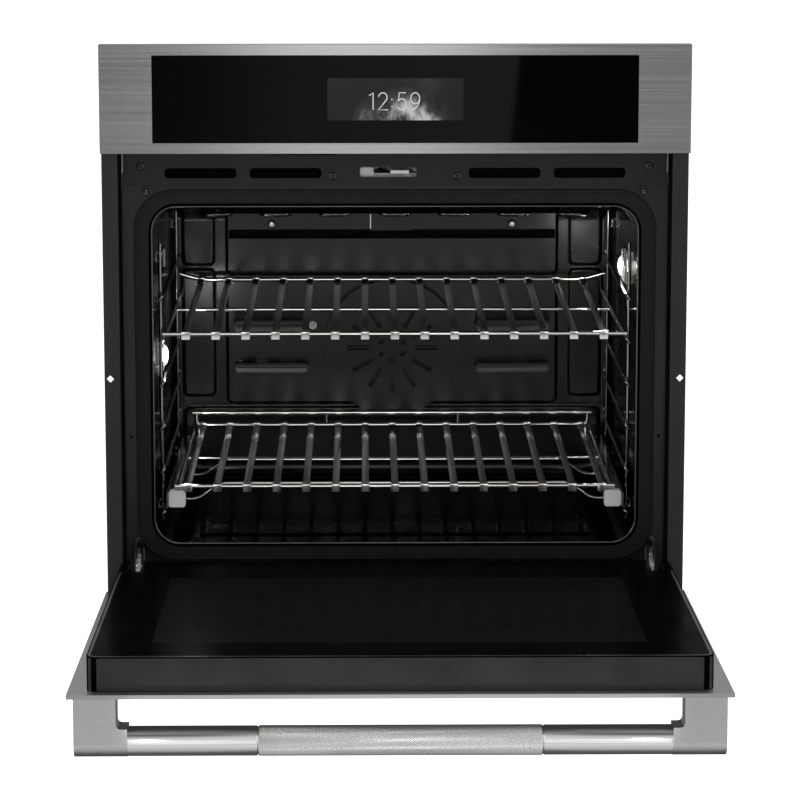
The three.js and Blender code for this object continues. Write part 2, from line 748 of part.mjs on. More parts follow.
LAMPS.forEach((lamp) => {
  const { side, y, z } = lamp;
  const outline = roundedOutline(y - 30, y + 30, z - 20, z + 20, 5.6, 2);
  const rim = roundedOutline(y - 33, y + 33, z - 23, z + 23, 7, 2);
  const crown = roundedOutline(y - 22, y + 22, z - 13, z + 13, 5, 2);
  const lens = join([prism("x", outline, 312, 324), prism("x", rim, 314.5, 317.6)]);
  const dome = lens.add(prism("x", crown, 310.8, 313));
  const name = side < 0 ? "left" : "right";
  place("lamp_lens_" + name, side < 0 ? mirrorX(dome) : dome, LENS, cavity);
});

// ---- rack guides, one wire ladder on each side wall ----
function rackGuide() {
  const pieces = [];
  for (const y of [74, 436]) {
    pieces.push(wire([[311.6, y, 98], [311.6, y, 472]], 2.4, 6));
    pieces.push(box(312, 317.7, y - 5, y + 5, 449, 461));
    pieces.push(box(312, 317.7, y - 5, y + 5, 116, 126));
  }
  for (let i = 0; i < LEVELS; i++) {
    const z = LEVEL_Z0 + i * LEVEL_PITCH;
    const path = [
      [312, 50, z - 6],
      [307.4, 50, z - 0.3],
      [307.4, 456, z - 0.3],
      [312, 456, z + 8],
    ];
    pieces.push(wire(path, 2.5, 6));
  }
  pieces.push(box(306, 309.6, 96, 116, 438, 462));
  pieces.push(box(308, 312, 66, 116, 457, 461));
  return join(pieces);
}
placePair("rack_guide", rackGuide(), CHROME, cavity);

// ---- racks ----
function slat(x, z, backZ) {
  const f = RACK_FRONT_Y;
  const b = RACK_BACK_Y;
  const outline = [
    [f - 4.4, z - 4.2],
    [f + 4.4, z - 4.2],
    [f + 4.4, z + 1.4],
    [b - 12, z + 1.4],
    [b - 3, backZ - 3],
    [b - 3, backZ + 1],
    [b - 13, z + 3.6],
    [f - 4.4, z + 3.6],
  ];
  return prism("x", outline, x - 4.2, x + 4.2);
}

function slats(z, pitch, backZ) {
  const out = [];
  for (let i = 0; i < SLATS; i++) {
    out.push(slat((i - (SLATS - 1) / 2) * pitch, z, backZ));
  }
  return out;
}

function upperRack() {
  const z = UPPER_RACK_Z;
  const f = RACK_FRONT_Y;
  const b = RACK_BACK_Y;
  const rear = z + UPPER_REAR_RISE;
  const pieces = slats(z, 39.6, rear);
  pieces.push(wire([[-308, f, z], [308, f, z]], 3.25, 8));
  for (const s of [-1, 1]) {
    const rail = [
      [s * 304, f, z],
      [s * 304, b - 24, z],
      [s * 304, b, rear],
      [s * 307, b, rear + 8],
    ];
    pieces.push(wire(bend(rail, 8, 2), 3, 6));
  }
  pieces.push(wire([[-304, b, rear], [304, b, rear]], 3.25, 6));
  pieces.push(wire([[-304, UPPER_MID_Y, z - 2.6], [304, UPPER_MID_Y, z - 2.6]], 3, 5));
  return join(pieces);
}
place("upper_rack", upperRack(), CHROME, upperShelf);

function lowerRack() {
  const z = LOWER_RACK_Z;
  const f = RACK_FRONT_Y;
  const b = RACK_BACK_Y;
  const rear = z + LOWER_REAR_RISE;
  const stop = z + LOWER_REAR_STOP;
  const pieces = slats(z, 39.5, rear);
  pieces.push(wire([[-294, f, z], [294, f, z]], 3, 8));
  for (const s of [-1, 1]) {
    const rail = [
      [s * 289, f, z],
      [s * 289, b - 20, z],
      [s * 289, b, rear],
      [s * 289, b, stop],
    ];
    pieces.push(wire(bend(rail, 8, 2), 3, 6));
    pieces.push(wire([[s * 96, b, rear], [s * 96, b, stop]], 2.4, 6));
  }
  pieces.push(wire([[-289, b, rear], [289, b, rear]], 3, 6));
  pieces.push(wire([[-292, b, stop], [292, b, stop]], 3, 6));
  pieces.push(wire([[-289, LOWER_MID_Y, z - 2.4], [289, LOWER_MID_Y, z - 2.4]], 2.6, 5));
  return join(pieces);
}
place("lower_rack", lowerRack(), CHROME, lowerShelf);

// ---- glides under the lower rack ----
const GLIDE_Z0 = 120;
const GLIDE_Z1 = 142;

const glideFixed = cut(
  join([
    box(303, 304.6, 40, 444, GLIDE_Z0 + 1, GLIDE_Z1 - 1),
    box(302.2, 304.6, 40, 43, GLIDE_Z0 + 1, GLIDE_Z1 - 1),
  ]),
  [box(300, 306, 120, 200, 127, 134), box(300, 306, 300, 380, 127, 134)],
);
placePair("glide_rail", glideFixed, STEEL, cavity);

function glideFrame() {
  const pieces = [];
  for (const s of [-1, 1]) {
    const x0 = s < 0 ? -301.8 : 284;
    const channel = box(x0, x0 + 17.8, 62.3, 446, GLIDE_Z0 + 1, GLIDE_Z1 - 1);
    const groove = box(s < 0 ? -310 : 288, s < 0 ? -288 : 310, 60, 450, GLIDE_Z0 + 3, GLIDE_Z1 - 3);
    pieces.push(channel.subtract(groove));
  }
  const high = LOWER_RACK_Z - 1.6;
  const low = GLIDE_Z0 + 4;
  for (const y of GLIDE_WIRES_Y) {
    const path = [
      [-286, y, low],
      [-264, y, low],
      [-236, y, high],
      [236, y, high],
      [264, y, low],
      [286, y, low],
    ];
    pieces.push(wire(bend(path, 8, 3), 2.5, 6));
  }
  return join(pieces);
}
place("glide_frame", glideFrame(), CHROME, lowerShelf);

const glideCap = prism("y", roundedOutline(280, 302, GLIDE_Z0, GLIDE_Z1, 3, 2), 50, 62);
placePair("glide_cap", glideCap, CAP, lowerShelf);

// ---- seal and bumpers on the front frame ----
function doorGasket() {
  const o = GASKET_HALF;
  const i = CAVITY_HALF + 5;
  const outer = prism("y", roundedOutline(-o, o, 55, 549, 52, 6), 23, FRAME_Y - GAP);
  const crown = prism("y", roundedOutline(-o + 5, o - 5, 60, 544, 47, 6), 21.5, 24);
  const inner = prism("y", roundedOutline(-i, i, CAVITY_Z0 - 5, CAVITY_Z1 + 5, 37, 6), 0, 60);
  return outer.add(crown).subtract(inner);
}
place("door_gasket", doorGasket(), RUBBER);

const bumper = cut(
  join([
    disc("y", 325.5, 545.9, 7.4, 22.4, FRAME_Y - GAP, 16),
    disc("y", 325.5, 545.9, 3, 24, 34, 10),
  ]),
  [disc("y", 325.5, 545.9, 3.6, 20, 24, 12)],
);
placePair("bumper", bumper, RUBBER);

// ---- hinge arms and their lock levers ----
function hingeArm() {
  const eye = circleOutline(HINGE_Y, HINGE_Z, 5.6, 16);
  const arm = [
    [HINGE_Y + 1, HINGE_Z - 5.2],
    [FRAME_Y - 2, 36.6],
    [60, 40],
    [84, 40],
    [84, 66],
    [60, 66],
    [FRAME_Y - 2, 60],
    [HINGE_Y + 1, HINGE_Z + 5.2],
  ];
  const pieces = [
    prism("x", eye, 338, 342),
    prism("x", arm, 338, 342),
    box(331, 349, 28.4, 30.4, 33, 73),
    box(331, 349, 28.4, 90, 31, 33),
    box(331, 349, 28.4, 90, 73, 75),
    box(331, 349, 82, 84, 31, 75),
  ];
  const holes = [
    disc("x", HINGE_Y, HINGE_Z, 3.1, 320, 360, 14),
    disc("x", 18, 47, 2.3, 320, 360, 12),
  ];
  return cut(join(pieces), holes);
}
placePair("hinge_arm", hingeArm(), STEEL);

function hingeLock() {
  const face = prism("y", roundedOutline(335, 345, 40, 86, 3, 2), 16.6, 19.4);
  const slot = prism("y", roundedOutline(337.4, 342.6, 30, 80, 2, 2), 0, 40);
  const pin = disc("x", 18, 47, 2, 335.4, 344.6, 10);
  const ears = join([
    box(335, 337.4, 16.6, 22, 42, 52),
    box(342.6, 345, 16.6, 22, 42, 52),
  ]);
  return face.subtract(slot).add(ears).add(pin);
}
placePair("hinge_lock", hingeLock(), CHROME);

// ---- door lock behind the vent trim ----
const latchBase = join([
  box(-60, 50, 34, 90, 552, 558.6),
  box(-60, -30, 30, 90, 552, 572),
  box(-46, -28, 28.6, 31, 556, 566),
  box(-60, 50, 84, 90, 552, 574),
  box(24, 40, 60, 90, 552, 580),
]);
place("latch_base", latchBase, GALVANISED, upperBay);

const hookOutline = [
  [-12, 80],
  [-22, 80],
  [-22, 62],
  [-12, 44],
  [-8, 30],
  [-6, 25.6],
  [18, 25.6],
  [20, 29],
  [18, 34],
  [2, 34],
  [-2, 48],
  [-8, 62],
  [-8, 80],
];
place("latch_hook", prism("z", hookOutline, 559, 563), CHROME, upperBay);

// ---- door, drawn closed and folded down about the hinge line ----
function doorSkin() {
  const h = WIDTH / 2;
  const plate = prism("y", roundedOutline(-h, h, DOOR_Z0, DOOR_Z1, 1.2, 1), FACE_Y, FACE_Y + SKIN_T);
  const holes = [
    box(-350, 350, FACE_Y + 1.5, 0, 34, 571),
    prism("y", roundedOutline(-265, 265, 168, 480, 10, 3), -60, 0),
  ];
  for (const s of [-1, 1]) {
    holes.push(box(s * HINGE_X - 6, s * HINGE_X + 6, -40, 0, 0, DOOR_Z0 + 4.5));
    holes.push(disc("y", s * 349, HANDLE_Z, 3.2, -40, 0, 10));
  }
  return cut(plate, holes);
}
place("door_skin", doorSkin(), STEEL, door);
place("outer_glass", box(-285, 285, FACE_Y + 1.8, FACE_Y + 4.6, 148, 500), GLASS, door);

function doorLiner() {
  const y0 = FACE_Y + SKIN_T + GAP;
  const h = LINER_HALF;
  const body = prism("y", roundedOutline(-h, h, DOOR_Z0 + 1, LINER_Z1, 12, 4), y0, LINER_BACK_Y);
  const holes = [
    box(-h + 2, h - 2, y0 - 1, LINER_BACK_Y - 2, DOOR_Z0 + 3, LINER_Z1 - 2),
    prism("y", roundedOutline(-288.8, 288.8, 131.7, 507.3, 3, 1), 0, 40),
    box(-30, 30, 15, 30, 567, 577),
  ];
  for (const s of [-1, 1]) {
    holes.push(box(s * HINGE_X - 8, s * HINGE_X + 8, y0 - 1, 40, 0, 92));
  }
  return cut(body, holes);
}
place("door_liner", doorLiner(), ENAMEL, door);
const innerGlass = join([
  prism("y", roundedOutline(-288.5, 288.5, 132, 507, 2.8, 1), LINER_BACK_Y - 3.4, LINER_BACK_Y - 0.2),
  box(-300, 300, LINER_BACK_Y - 6, LINER_BACK_Y - 2.6, 122, 517),
]);
place("inner_glass", innerGlass, GLASS, door);

// Two ears and the pin they carry, inside the slot in the door's lower edge.
function hingeBody() {
  const ear = [
    [FACE_Y + 5.4, 100],
    [2, 100],
    [2, 40],
    [-14, 17],
    [-24, 17],
    [-24, DOOR_Z0 - 0.6],
    [FACE_Y + 5.4, DOOR_Z0 - 0.6],
  ];
  return join([
    prism("x", ear, 333, 335),
    prism("x", ear, 345, 347),
    box(333, 347, -16, -13, 96, 100),
    disc("x", HINGE_Y, HINGE_Z, 2.7, 333.5, 346.5, 12),
  ]);
}
placePair("hinge_body", hingeBody(), STEEL, door);

// ---- handle ----
const handleBar = cut(
  join([
    disc("x", HANDLE_Y, HANDLE_Z, HANDLE_R, -311.6, -162.9, 24),
    disc("x", HANDLE_Y, HANDLE_Z, HANDLE_R, 162.9, 311.6, 24),
    disc("x", HANDLE_Y, HANDLE_Z, HANDLE_R - 1.4, -163.5, 163.5, 24),
  ]),
  [disc("x", HANDLE_Y, HANDLE_Z, HANDLE_R - 3.4, -320, 320, 24)],
);
place("handle_bar", handleBar, BRIGHT, door);
const grip = disc("x", HANDLE_Y, HANDLE_Z, HANDLE_R + 0.3, -162.5, 162.5, 24).subtract(
  disc("x", HANDLE_Y, HANDLE_Z, HANDLE_R - 1, -170, 170, 24),
);
place("handle_grip", grip, BRIGHT, door);

function handleCap() {
  const outer = 373.5;
  const inner = 325;
  const foot = 312;
  const r = HANDLE_END_R;
  const far = HANDLE_Y - r;
  const near = HANDLE_Y + r;
  const outline = [
    [outer, FACE_Y - GAP],
    [inner, FACE_Y - GAP],
    [inner, near + 8],
    [inner - 0.8, near + 5],
    [inner - 3, near + 2],
    [inner - 7, near],
    [foot, near],
    [foot, far],
    [outer, far],
  ];
  // Seen from the side the arm ends in a half circle that follows the bar.
  const side = [[FACE_Y, HANDLE_Z - r]];
  for (let i = 0; i <= 12; i++) {
    const a = Math.PI * (i / 12 - 0.5);
    side.push([HANDLE_Y - r * Math.cos(a), HANDLE_Z + r * Math.sin(a)]);
  }
  side.push([FACE_Y, HANDLE_Z + r]);
  return prism("z", outline, HANDLE_Z - r, HANDLE_Z + r).intersect(prism("x", side, foot - 5, outer + 5));
}
placePair("handle_cap", handleCap(), STEEL, door);

export default oven;
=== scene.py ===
import bpy
import math
from mathutils import Matrix, Vector


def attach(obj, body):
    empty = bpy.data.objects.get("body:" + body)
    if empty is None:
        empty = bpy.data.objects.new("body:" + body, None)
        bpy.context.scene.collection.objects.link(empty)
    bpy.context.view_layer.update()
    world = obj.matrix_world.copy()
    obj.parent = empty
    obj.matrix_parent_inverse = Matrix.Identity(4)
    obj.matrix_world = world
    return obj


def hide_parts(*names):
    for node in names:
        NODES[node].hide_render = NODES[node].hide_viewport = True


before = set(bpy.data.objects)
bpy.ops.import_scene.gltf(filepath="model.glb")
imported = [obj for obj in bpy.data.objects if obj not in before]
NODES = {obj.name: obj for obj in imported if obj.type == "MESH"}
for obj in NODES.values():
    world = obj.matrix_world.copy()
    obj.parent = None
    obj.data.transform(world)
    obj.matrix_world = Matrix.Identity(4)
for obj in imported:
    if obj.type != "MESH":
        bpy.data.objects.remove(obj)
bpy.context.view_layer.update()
MM = 0.001
scene = bpy.context.scene


def add_object(name, data):
    obj = bpy.data.objects.new(name, data)
    scene.collection.objects.link(obj)
    return obj


# ---- camera
CAMERA_PLACE = (-0.0412, -4.0408, 1.0029)
CAMERA_DOWN = 0.1631  # radians below level
CAMERA_RIGHT = 0.0117  # radians to the right of straight ahead
camera_data = bpy.data.cameras.new("camera")
camera_data.sensor_width = 36
camera_data.lens = 140.69
camera_data.shift_y = -0.06
camera_data.clip_end = 200
camera = add_object("camera", camera_data)
camera.location = CAMERA_PLACE
camera.rotation_euler = (math.pi / 2 - CAMERA_DOWN, 0.0, -CAMERA_RIGHT)
scene.camera = camera
scene.view_settings.view_transform = "Standard"

# ---- sizes, millimetres
HINGE = Vector((0, -20.5, 21.5))
OPEN_DEG = 88.2
FACE_Y = -24.0  # front of the fascia and of the closed door
HANDLE_R = 17.4
HANDLE_Y = -78.2
HANDLE_Z = 573.0
HANDLE_END_R = 17.8  # half circle at the end of each arm
BAR_HALF = 311.95
GRIP_HALF = 162.5
RACK_F = 56.0  # front wire of both racks
RACK_B = 462.0  # back wire of both racks
UPPER_Z = 353.0
UPPER_REAR = UPPER_Z + 16.0
UPPER_HALF = 304.0  # out to the side wires
UPPER_END = 308.0  # out to the ends of the front and back wires
UPPER_PITCH = 39.6  # from slat to slat
UPPER_MID_Y = 292.0
LOWER_Z = 147.0
LOWER_REAR = LOWER_Z + 7.0
LOWER_STOP = LOWER_Z + 25.0  # the raised rail behind the dishes
LOWER_HALF = 289.0
LOWER_PITCH = 39.5
LOWER_MID_Y = 260.0
SLATS = 15
GLIDE_F = 62.3
GLIDE_B = 446.0
GLIDE_IN = 284.0  # the glide's two faces
GLIDE_OUT = 301.6
GLIDE_WIRES_Y = (85, 247)
GUIDE_X = 311.6
GUIDE_POSTS_Y = (74, 436)
LEVEL_Z0 = 115.0
LEVEL_PITCH = 58.1
LEVELS = 6
ELEMENT_R = 3.3
CAVITY_HALF = 318.0
CAVITY_Z0 = 77.5
CAVITY_Z1 = 526.5
CAVITY_R = 32.0
CAVITY = (-CAVITY_HALF, CAVITY_HALF, CAVITY_Z0, CAVITY_Z1)
BACK_Y = 498.3
LINER_HALF = 359.5
LINER_TOP = 579.0
TRIM_HALF = 360.15  # inner faces of the side trims
DOOR_TURN = (
    Matrix.Translation(HINGE)
    @ Matrix.Rotation(math.radians(OPEN_DEG), 4, "X")
    @ Matrix.Translation(-HINGE)
)


# ---- materials
def grey(value):
    return (value, value, value)


class Nodes:
    """Short calls that add nodes to one tree."""

    def __init__(self, tree):
        self.tree = tree

    def node(self, kind, **fields):
        made = self.tree.nodes.new(kind)
        for key, value in fields.items():
            if key in made.inputs:
                made.inputs[key].default_value = value
            else:
                setattr(made, key, value)
        return made

    def link(self, source, socket):
        """Feeds a socket from another node's output, or with a plain number."""
        if isinstance(source, (int, float)):
            socket.default_value = source
        else:
            self.tree.links.new(source, socket)

    def math(self, operation, a, b=0.0):
        made = self.node("ShaderNodeMath", operation=operation)
        self.link(a, made.inputs[0])
        self.link(b, made.inputs[1])
        return made.outputs["Value"]


class Shader(Nodes):
    """A node material: a Principled shader and the textures that feed it."""

    def __init__(self, name, color, roughness, metallic=0.0, **uniform):
        self.mat = bpy.data.materials.new(name)
        self.mat.use_nodes = True
        super().__init__(self.mat.node_tree)
        self.bsdf = self.tree.nodes["Principled BSDF"]
        self.color = color
        self.set("Base Color", (*color, 1))
        self.set("Roughness", roughness)
        self.set("Metallic", metallic)
        for key, value in uniform.items():
            self.set(key.replace("_", " "), value)
        self.coords = self.node("ShaderNodeTexCoord").outputs["Object"]
        self.height = None

    def set(self, socket, value):
        self.bsdf.inputs[socket].default_value = value

    def feed(self, source, socket):
        self.link(source, self.bsdf.inputs[socket])

    def noise(self, scale, detail, stretch=(1, 1, 1), rough=0.55):
        place = self.node("ShaderNodeMapping")
        place.inputs["Scale"].default_value = stretch
        self.link(self.coords, place.inputs["Vector"])
        made = self.node("ShaderNodeTexNoise", Scale=scale, Detail=detail, Roughness=rough)
        self.link(place.outputs["Vector"], made.inputs["Vector"])
        return made.outputs["Fac"]

    def cells(self, scale, feature="F1"):
        made = self.node("ShaderNodeTexVoronoi", feature=feature, Scale=scale)
        self.link(self.coords, made.inputs["Vector"])
        return made

    def span(self, source, lo, hi, to_lo, to_hi):
        """The source carried from lo...hi to to_lo...to_hi, held at both ends."""
        made = self.node("ShaderNodeMapRange")
        self.link(source, made.inputs["Value"])
        for key, value in zip(("From Min", "From Max", "To Min", "To Max"), (lo, hi, to_lo, to_hi)):
            made.inputs[key].default_value = value
        return made.outputs["Result"]

    def ramp(self, source, stops, smooth=False):
        made = self.node("ShaderNodeValToRGB")
        made.color_ramp.interpolation = "EASE" if smooth else "LINEAR"
        while len(made.color_ramp.elements) < len(stops):
            made.color_ramp.elements.new(0.5)
        for spot, (at, color) in zip(made.color_ramp.elements, stops):
            spot.position = at
            spot.color = (*color, 1)
        self.link(source, made.inputs["Fac"])
        return made.outputs["Color"]

    def mix(self, factor, a, b, blend="MIX"):
        made = self.node("ShaderNodeMix", data_type="RGBA", blend_type=blend)
        self.link(factor, made.inputs[0])
        for source, socket in ((a, made.inputs[6]), (b, made.inputs[7])):
            if isinstance(source, tuple):
                socket.default_value = (*source, 1)
            else:
                self.link(source, socket)
        return made.outputs[2]

    def bump(self, height, strength, distance):
        made = self.node("ShaderNodeBump", Strength=strength, Distance=distance)
        self.link(height, made.inputs["Height"])
        if self.height is not None:
            self.link(self.height, made.inputs["Normal"])
        self.height = made.outputs["Normal"]
        self.feed(self.height, "Normal")

    def edges(self, radius):
        """1 along edges, 0 on flats, from how far a rounded normal leaves the true one; it masks lighter
        edges that are part wear, part painted highlight.
        """
        soft = self.node("ShaderNodeBevel", samples=4, Radius=radius)
        true = self.node("ShaderNodeNewGeometry").outputs["Normal"]
        dot = self.node("ShaderNodeVectorMath", operation="DOT_PRODUCT")
        self.link(soft.outputs["Normal"], dot.inputs[0])
        self.link(true, dot.inputs[1])
        return self.span(dot.outputs["Value"], 0.99, 0.75, 0.0, 1.0)

    def tint(self, source, lo=0.35, hi=0.65, dark=0.9, light=1.1):
        """Shades of the base colour: dark where the source is lo, light where it is hi."""
        a = tuple(c * dark for c in self.color)
        b = tuple(min(1.0, c * light) for c in self.color)
        out = self.ramp(source, [(lo, a), (hi, b)])
        self.feed(out, "Base Color")
        return out

    def gloss(self, source, lo, hi, at=(0.3, 0.7)):
        self.feed(self.span(source, at[0], at[1], lo, hi), "Roughness")


def brushed(name, color, roughness, along="X", aniso=0.75, spread=0.06):
    """Brushed steel: long fine scratches along X or Y, faint bands and smudges."""
    s = Shader(name, color, roughness, 1.0, Anisotropic=aniso)
    long = (3, 900, 900) if along == "X" else (900, 3, 900)
    fine = s.noise(1.0, 3, long)
    bands = s.noise(1.0, 2, tuple(c * 0.12 for c in long))
    cloud = s.noise(3.2, 3)
    mixed = s.mix(0.35, fine, bands)
    toned = s.tint(mixed, 0.3, 0.7, 1 - spread * 1.6, 1 + spread)
    shade = s.ramp(cloud, [(0.25, grey(0.95)), (0.75, grey(1.0))])
    s.feed(s.mix(1.0, toned, shade, "MULTIPLY"), "Base Color")
    s.gloss(mixed, roughness - 0.05, roughness + 0.07)
    s.bump(fine, 0.05, 0.0002)
    turn = s.node("ShaderNodeTangent", direction_type="RADIAL", axis="Z")
    s.feed(turn.outputs["Tangent"], "Tangent")
    s.set("Anisotropic Rotation", 0.25)
    return s.mat


def enamel(name, color, roughness, peel, level, wear_and_highlight=0.0, ripple=0.0):
    """Fused porcelain enamel: deep gloss with orange peel, faint dust, and lighter edges that are part
    wear, part painted highlight.
    """
    s = Shader(name, color, roughness, 0.0, Specular_IOR_Level=level)
    peel_noise = s.noise(160, 2)
    flow = s.noise(14, 3)
    specks = s.cells(900)
    dust = s.span(specks.outputs["Distance"], 0.0, 0.12, 1.0, 0.0)
    base = s.tint(flow, 0.3, 0.7, 0.8, 1.25)
    base = s.mix(s.math("MULTIPLY", dust, 0.25), base, tuple(c * 2.2 + 0.01 for c in color))
    # Grey edges: part wear, part painted highlight.
    if wear_and_highlight:
        base = s.mix(s.math("MULTIPLY", s.edges(0.0012), wear_and_highlight), base, (0.09, 0.09, 0.095))
    s.feed(base, "Base Color")
    s.gloss(flow, roughness * 0.8, roughness * 1.5)
    s.bump(peel_noise, peel, 0.0006)
    s.bump(flow, peel * 0.6, 0.004)
    if ripple:
        s.bump(s.noise(55, 2), ripple, 0.003)
    return s.mat


def painted(name, color, roughness, wear_and_highlight, grain=0.12, level=0.5):
    """Powder coat: fine granular bump, slight shade drift, and lighter edges that are part wear, part
    painted highlight.
    """
    s = Shader(name, color, roughness, 0.0, Specular_IOR_Level=level)
    dots = s.noise(1900, 3)
    cloud = s.noise(9, 4)
    base = s.tint(cloud, 0.3, 0.7, 0.86, 1.14)
    # Lighter edges: part wear, part painted highlight.
    if wear_and_highlight:
        light = tuple(min(1, c * 2.6 + 0.05) for c in color)
        base = s.mix(s.math("MULTIPLY", s.edges(0.0009), wear_and_highlight), base, light)
    s.feed(base, "Base Color")
    s.gloss(cloud, roughness - 0.05, roughness + 0.08)
    s.bump(dots, grain, 0.0002)
    return s.mat


def chrome(name, color, roughness, rub):
    """Plated wire: bright, a little wavy, with draw lines and faint heat toning."""
    s = Shader(name, color, roughness, 1.0)
    wave = s.noise(85, 2)
    lines = s.noise(700, 2)
    tone = s.noise(7, 3)
    warm = tuple(c * f for c, f in zip(color, (0.86, 0.83, 0.78)))
    s.feed(s.ramp(tone, [(0.32, warm), (0.55, color)]), "Base Color")
    s.gloss(tone, roughness + rub, roughness)
    s.bump(wave, 0.08, 0.0004)
    s.bump(lines, 0.05, 0.0001)
    return s.mat


def zinc(name, color, roughness):
    """Galvanised sheet: spangles of two greys, fine rolling lines and dull spots."""
    s = Shader(name, color, roughness, 1.0)
    flakes = s.cells(170)
    tone = s.node("ShaderNodeSeparateColor")
    s.link(flakes.outputs["Color"], tone.inputs["Color"])
    cloud = s.noise(6, 4)
    rolled = s.noise(1.0, 2, (4, 700, 700))
    base = s.tint(tone.outputs["Red"], 0.0, 1.0, 0.82, 1.1)
    base = s.mix(0.35, base, s.ramp(cloud, [(0.3, tuple(c * 0.8 for c in color)), (0.7, color)]))
    s.feed(base, "Base Color")
    s.gloss(tone.outputs["Green"], roughness - 0.08, roughness + 0.12, (0.0, 1.0))
    s.bump(rolled, 0.06, 0.0002)
    s.bump(cloud, 0.1, 0.003)
    return s.mat


def glassy(name, color, roughness, haze, level=0.5):
    """Black glass: opaque, mirror smooth, with the faintest wipe marks."""
    s = Shader(name, color, roughness, 0.0, Specular_IOR_Level=level)
    wipe = s.noise(5, 4, (1, 6, 1))
    s.tint(wipe, 0.3, 0.7, 0.85, 1.2)
    s.gloss(wipe, roughness, roughness + haze)
    s.bump(s.noise(3, 1), 0.02, 0.004)
    return s.mat


def plastic(name, color, roughness, grain=0.12, level=0.5):
    """Moulded plastic or rubber: fine grain and slight shade drift."""
    s = Shader(name, color, roughness, 0.0, Specular_IOR_Level=level)
    s.tint(s.noise(30, 3))
    s.gloss(s.noise(60, 3), roughness - 0.06, roughness + 0.08)
    s.bump(s.noise(1500, 3), grain, 0.0003)
    return s.mat


def wool():
    """Mineral wool: matted strands in soft clumps."""
    s = Shader("wool", (0.62, 0.56, 0.36), 0.95, 0.0, Sheen_Weight=0.3)
    strands = s.noise(300, 5, (1, 6, 6), 0.7)
    clumps = s.noise(24, 4)
    s.tint(s.mix(0.5, strands, clumps), 0.3, 0.7, 0.6, 1.2)
    s.bump(strands, 0.8, 0.004)
    s.bump(clumps, 0.6, 0.01)
    return s.mat


def board():
    """Circuit board: solder mask with pale traces and pads."""
    s = Shader("circuit_board", (0.03, 0.12, 0.05), 0.4)
    tracks = s.cells(260, "DISTANCE_TO_EDGE")
    line = s.span(tracks.outputs["Distance"], 0.03, 0.06, 1.0, 0.0)
    base = s.tint(s.noise(20, 3), 0.3, 0.7, 0.8, 1.2)
    s.feed(s.mix(line, base, (0.09, 0.26, 0.1)), "Base Color")
    s.bump(line, 0.3, 0.0003)
    return s.mat


STAINLESS = brushed("stainless", grey(0.41), 0.2, aniso=0.8, spread=0.04)
STAINLESS_CAP = brushed("stainless_cap", grey(0.58), 0.26, "Y", aniso=0.6)
STAINLESS_DOOR = brushed("stainless_door", grey(0.46), 0.32)
BRIGHT = brushed("stainless_bright", grey(0.78), 0.14, aniso=0.3)
HINGE_STEEL = chrome("hinge_steel", (0.5, 0.5, 0.51), 0.22, 0.1)
CHROME = chrome("chrome_wire", grey(0.9), 0.1, 0.06)
# A darker copy of the racks' chrome: painted shade on the wall ladders and the temperature sensor.
GUIDE = chrome("guide_wire_painted_dark", grey(0.3), 0.1, 0.06)
# Lit and shaded copies of the cavity's one enamel: the back wall painted lighter and glossier, the side
# walls, roof and floor painted darker and almost unreflecting.
ENAMEL_BACK = enamel("black_enamel_back_painted_lit", (0.006, 0.006, 0.0062), 0.2, 0.02, level=0.55)
WRAPPER = enamel("black_enamel_cavity_painted_dark", (0.001, 0.001, 0.0011), 0.07, 0.03, level=0.005, ripple=0.12)
# The door's inner pan in two copies of one enamel: a painted dark, almost unreflecting top and a painted
# lighter, glossier rim.
LINER = enamel("black_enamel_door_painted_dark", (0.0014, 0.0014, 0.0015), 0.2, 0.02, level=0.003)
LINER_EDGE_LIT = enamel("black_enamel_edge_painted_lit", grey(0.03), 0.28, 0.02, level=0.3)
FRONT_ENAMEL = enamel("black_enamel_front", grey(0.006), 0.22, 0.03, level=0.45, wear_and_highlight=0.15)
SATIN = painted("satin_black", (0.007, 0.007, 0.0072), 0.32, 0.25, 0.05, 0.34)
CHARCOAL = painted("charcoal_trim", (0.012, 0.012, 0.0125), 0.36, 0.6, 0.1, 0.45)
GALVANISED = zinc("galvanised", (0.45, 0.46, 0.47), 0.42)
SHEATH = chrome("element_sheath", (0.16, 0.158, 0.155), 0.16, 0.08)
ALUMINIUM = brushed("aluminium", (0.6, 0.6, 0.61), 0.4, aniso=0.3)
KNURL = chrome("knurled_steel", grey(0.74), 0.24, 0.05)
# A bright metal copy of the cavity enamel: painted highlight along the cavity's rolled front edge.
LIP = chrome("cavity_lip_painted_bright", grey(0.14), 0.14, 0.05)
FAN_STEEL = brushed("fan_steel", (0.06, 0.06, 0.062), 0.35, aniso=0.3)
MOTOR = painted("motor_black", grey(0.03), 0.45, 0.3)
GLASS = glassy("black_glass", (0.0012, 0.0012, 0.0013), 0.01, 0.02)
DOOR_GLASS = glassy("door_glass", (0.0058, 0.0058, 0.006), 0.25, 0.1, 0.003)
PLASTIC = plastic("black_plastic", grey(0.02), 0.5)
CAP = painted("pale_cap", (0.93, 0.93, 0.92), 0.4, 0.0, 0.1)
RUBBER = plastic("black_rubber", grey(0.006), 0.5, 0.2, 0.25)
SCREW_BLACK = painted("black_screw", grey(0.006), 0.1, 0.2, 0.02, 0.8)
# Matte deep black: painted shade in the trim gaps and in the vent ducts behind the slots, and the seal's
# dark joint.
DEEP_BLACK = painted("shade_and_joint_black", grey(0.002), 0.8, 0.0, 0.1, 0.1)
BOARD = board()
WOOL = wool()

def both(name):
    return (name + "_left", name + "_right")


